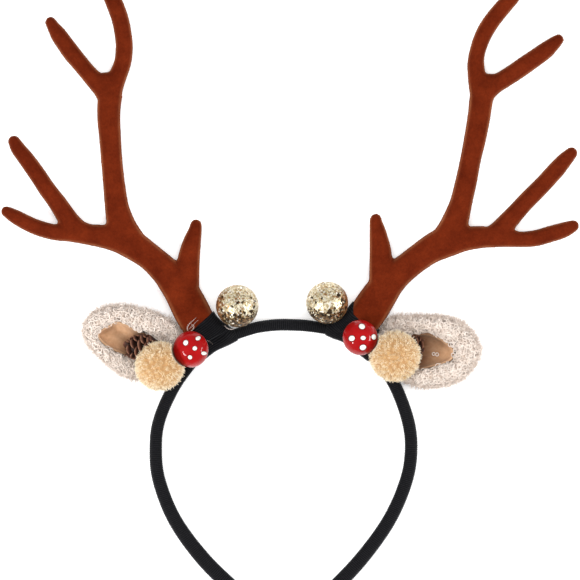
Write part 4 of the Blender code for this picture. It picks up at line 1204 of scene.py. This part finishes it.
def make_ball(side, material, random):
    """The ball. Low on it and round its rim, as seen from the front, the flakes are dark bronze:
    painted shade and painted reflection of the dark band and surroundings. Towards its outer side
    many are rust-coloured. Dark flecks, painted dark reflections and shade between the flakes,
    stand at given places, and as many more are strewn over the back."""
    u, v, radius = BALLS[side]
    low, high = cad_corners("glitter_ball_" + side)
    centre, radius = place(u, v, (low + high)[2] / 2), radius * UNIT
    core = ball_grid(BALL_ROWS, BALL_AROUND) * (radius - FOAM_INSET)
    ways = on_ball(FLAKES, 0.012, random)
    turn = circle(FLAKE_SIDES)
    outline = np.stack([np.cos(turn), np.sin(turn), 0 * turn], -1)
    flake = np.stack([outline - (0, 0, FLAKE_HALF), outline + (0, 0, FLAKE_HALF)])
    size = random.triangular(0.32, 0.46, 0.70, FLAKES) * MM
    kind = random.choice(len(CHAMPAGNE), FLAKES, p=CHAMPAGNE_SHARES)
    colours = CHAMPAGNE[kind] * random.uniform(0.75, 1.15, (FLAKES, 1))
    outward = -ways[:, 0] if side == "left" else ways[:, 0]
    # Painted shade and reflection: flakes low down and round the rim, as seen from the front, turn
    # dark bronze.
    low_down = np.minimum(2.2 * (-ways[:, 1] - 0.26), 0.80) + 0.30 * (1 - np.abs(ways[:, 2])) ** 2
    shaded_low = low_down + 0.35 * ripples(ways, 0.35, 61) > random.uniform(0, 1, FLAKES)
    colours[shaded_low] = DARK_SHADE_BRONZE * random.uniform(0.05, 2.2, (shaded_low.sum(), 1))
    rusty = 1.3 * outward**3 + 0.25 * ripples(ways, 0.6, 62) > random.uniform(0.1, 1, FLAKES)
    colours[rusty] = RUST_FILM * random.uniform(0.4, 1.5, (rusty.sum(), 1))
    # Painted dark reflections and shade: flakes near the given flecks, and near their mirror places
    # on the back, turn nearly black.
    flecks = np.array(FLECKS[side])
    x, y = (flecks[:, 0] - u) * UNIT / radius, (v - flecks[:, 1]) * UNIT / radius
    front = np.column_stack([x, y, np.sqrt(np.maximum(1 - (x**2 + y**2), 0.02))])
    fleck_ways = unit(np.vstack([front, front * (-1, 1, -1)]))
    reach = np.tile(flecks[:, 2], 2) * UNIT / 2 / radius
    near = (np.arccos(np.clip(ways @ fleck_ways.T, -1, 1)) < FLECK_REACH * reach).any(1)
    colours[near] = PAINTED_DARK_FLECK * random.uniform(0.5, 1.8, (near.sum(), 1))
    depth = random.uniform(0.12, 0.30, FLAKES) * MM
    spots = ways * (radius - depth - FLECK_SUNK * near)[:, None]
    flakes = scattered(flake, spots, ways, random.normal(0, 0.10, FLAKES), size, random)
    points, faces = joined(core, flakes)
    ball = add_piece("flaked_ball_" + side, (points + centre, faces), [material],
                     ["glitter_ball_" + side], smooth=False)
    tag(ball, "flake", np.vstack([
        np.tile(FOAM, (core[..., 0].size, 1)),
        np.repeat(colours.clip(0, 1), flake[..., 0].size, axis=0)]))


film = glitter()
for side, seed in zip(SIDES, (51, 52)):
    make_ball(side, film, np.random.default_rng(seed))

# Glue: clear hot-melt glue that has squeezed out beside the trims and drawn out into threads.
# Each is a round bead whose centre line and radius follow a smooth curve. A loose loop of the ear's
# yarn on the right lining is made in the same way.
GLUE = [
    # u, v, height, radius (millimetres)
    [
        (188, 330.5, 14, 0.34), (187.6, 327.5, 14.3, 0.42), (189.4, 324, 14, 0.38),
        (192.4, 321.4, 13.6, 0.26), (196.2, 317.6, 13.2, 0.12),
    ],
    [
        (191, 331, 14, 0.30), (193.6, 328.6, 14.2, 0.42), (193.8, 325.6, 13.9, 0.34),
        (191.4, 324.6, 13.7, 0.24),
    ],
    [
        (189.6, 329, 14.2, 0.22), (192, 326.4, 14.3, 0.26), (195.6, 322.6, 13.8, 0.16),
        (198.6, 319.8, 13.3, 0.08),
    ],
    [(207, 340, 14.6, 0.12), (210, 341.5, 14, 0.10), (213, 344, 13.2, 0.08)],
    [
        (224.8, 325.6, 12.6, 0.24), (227.6, 328, 12.4, 0.34), (231, 329.2, 12.3, 0.32),
        (234.6, 328.6, 12.3, 0.20),
    ],
]
LOOSE_LOOPS = [
    [
        (435, 354.6, 6.9, 0.24), (433.4, 355.4, 7, 0.26), (432.2, 354, 7.1, 0.26),
        (433.2, 352.4, 7.1, 0.26), (434.9, 353.2, 7.2, 0.26), (435.4, 355, 7.2, 0.26),
        (436.8, 356, 7.1, 0.26), (438.4, 355.2, 7.1, 0.26), (438.2, 353.4, 7.1, 0.26),
        (436.6, 352.8, 7.1, 0.26), (435.8, 354.2, 6.9, 0.22),
    ],
]


def make_bead(name, rows, material):
    """A bead along its line, whose radius swells and shrinks a little. Heights and radii come in
    millimetres, which are two of the drawing's units."""
    path = smooth_rows(rows, 6)
    radius = path[:, 3:] * (0.8 + 0.05 * np.sin(np.arange(len(path)) * 1.7))[:, None]
    rings = rings_along(path, 2 * radius, 12, 2 * path[:, 2:3])
    return add_piece(name, joined(rings), [material])


clear_glue = new_material("clear_glue", base_color=(0.92, 0.80, 0.73), roughness=0.18,
                          transmission_weight=0.86, ior=1.45)[0]
for number, rows in enumerate(GLUE):
    make_bead(f"glue_{number}", rows, clear_glue)
for number, rows in enumerate(LOOSE_LOOPS):
    loop = make_bead(f"loose_loop_{number}", rows, wool)
    tag(loop, "shade", np.full(len(loop.data.vertices), 0.95))

# Floor, light and camera: a pale sheet, two strip lights beside a large soft one, seen from above.
FLOOR_REACH = 6.0
CAMERA_HEIGHT = 2.5
SEEN = 0.29  # metres across the picture at the middle of the band
SENSOR = 36.0


def add_light(name, wide, high, power, spot, mirrored=True):
    """A soft box that faces the headband. One that isn't mirrored lights without a reflection."""
    lamp = bpy.data.lights.new(name, "AREA")
    lamp.shape = "RECTANGLE"
    lamp.size, lamp.size_y = wide, high
    lamp.energy = power
    light = bpy.data.objects.new(name, lamp)
    light.location = spot
    light.rotation_euler = (-Vector(spot)).to_track_quat("-Z", "Y").to_euler()
    light.visible_camera = False
    light.visible_glossy = mirrored
    bpy.context.scene.collection.objects.link(light)


floor = bpy.data.objects.new("floor", bpy.data.meshes.new("floor"))
floor.data.from_pydata([(x * FLOOR_REACH, y * FLOOR_REACH, 0.0) for x, y in
                        ((-1, -1), (1, -1), (1, 1), (-1, 1))], [], [(0, 1, 2, 3)])
floor.data.materials.append(new_material("pale_floor", base_color=(0.90, 0.90, 0.90), roughness=0.9,
                                         specular_ior_level=0.1, emission_color=(1.0, 1.0, 1.0),
                                         emission_strength=0.3)[0])
bpy.context.scene.collection.objects.link(floor)

world = bpy.data.worlds.new("studio")
world.use_nodes = True
world.node_tree.nodes["Background"].inputs["Color"].default_value = (1.0, 1.0, 1.0, 1.0)
world.node_tree.nodes["Background"].inputs["Strength"].default_value = 0.55
bpy.context.scene.world = world
add_light("overhead", 1.4, 1.4, 22.0, (0.0, 0.25, 1.7), mirrored=False)
add_light("box_left", 0.34, 0.12, 6.4, (-0.60, -0.38, 0.61))
add_light("box_right", 0.34, 0.12, 4.6, (0.77, -0.08, 0.42))
bpy.context.scene.view_settings.view_transform = "Standard"

camera = bpy.data.objects.new("camera", bpy.data.cameras.new("camera"))
camera.data.sensor_width = SENSOR
camera.data.lens = SENSOR * CAMERA_HEIGHT / SEEN
camera.data.clip_end = 20.0
camera.location = (*place(290.0, 290.0, 0.0)[:2], CAMERA_HEIGHT + 6.0 * MM)
bpy.context.scene.collection.objects.link(camera)
bpy.context.scene.camera = camera
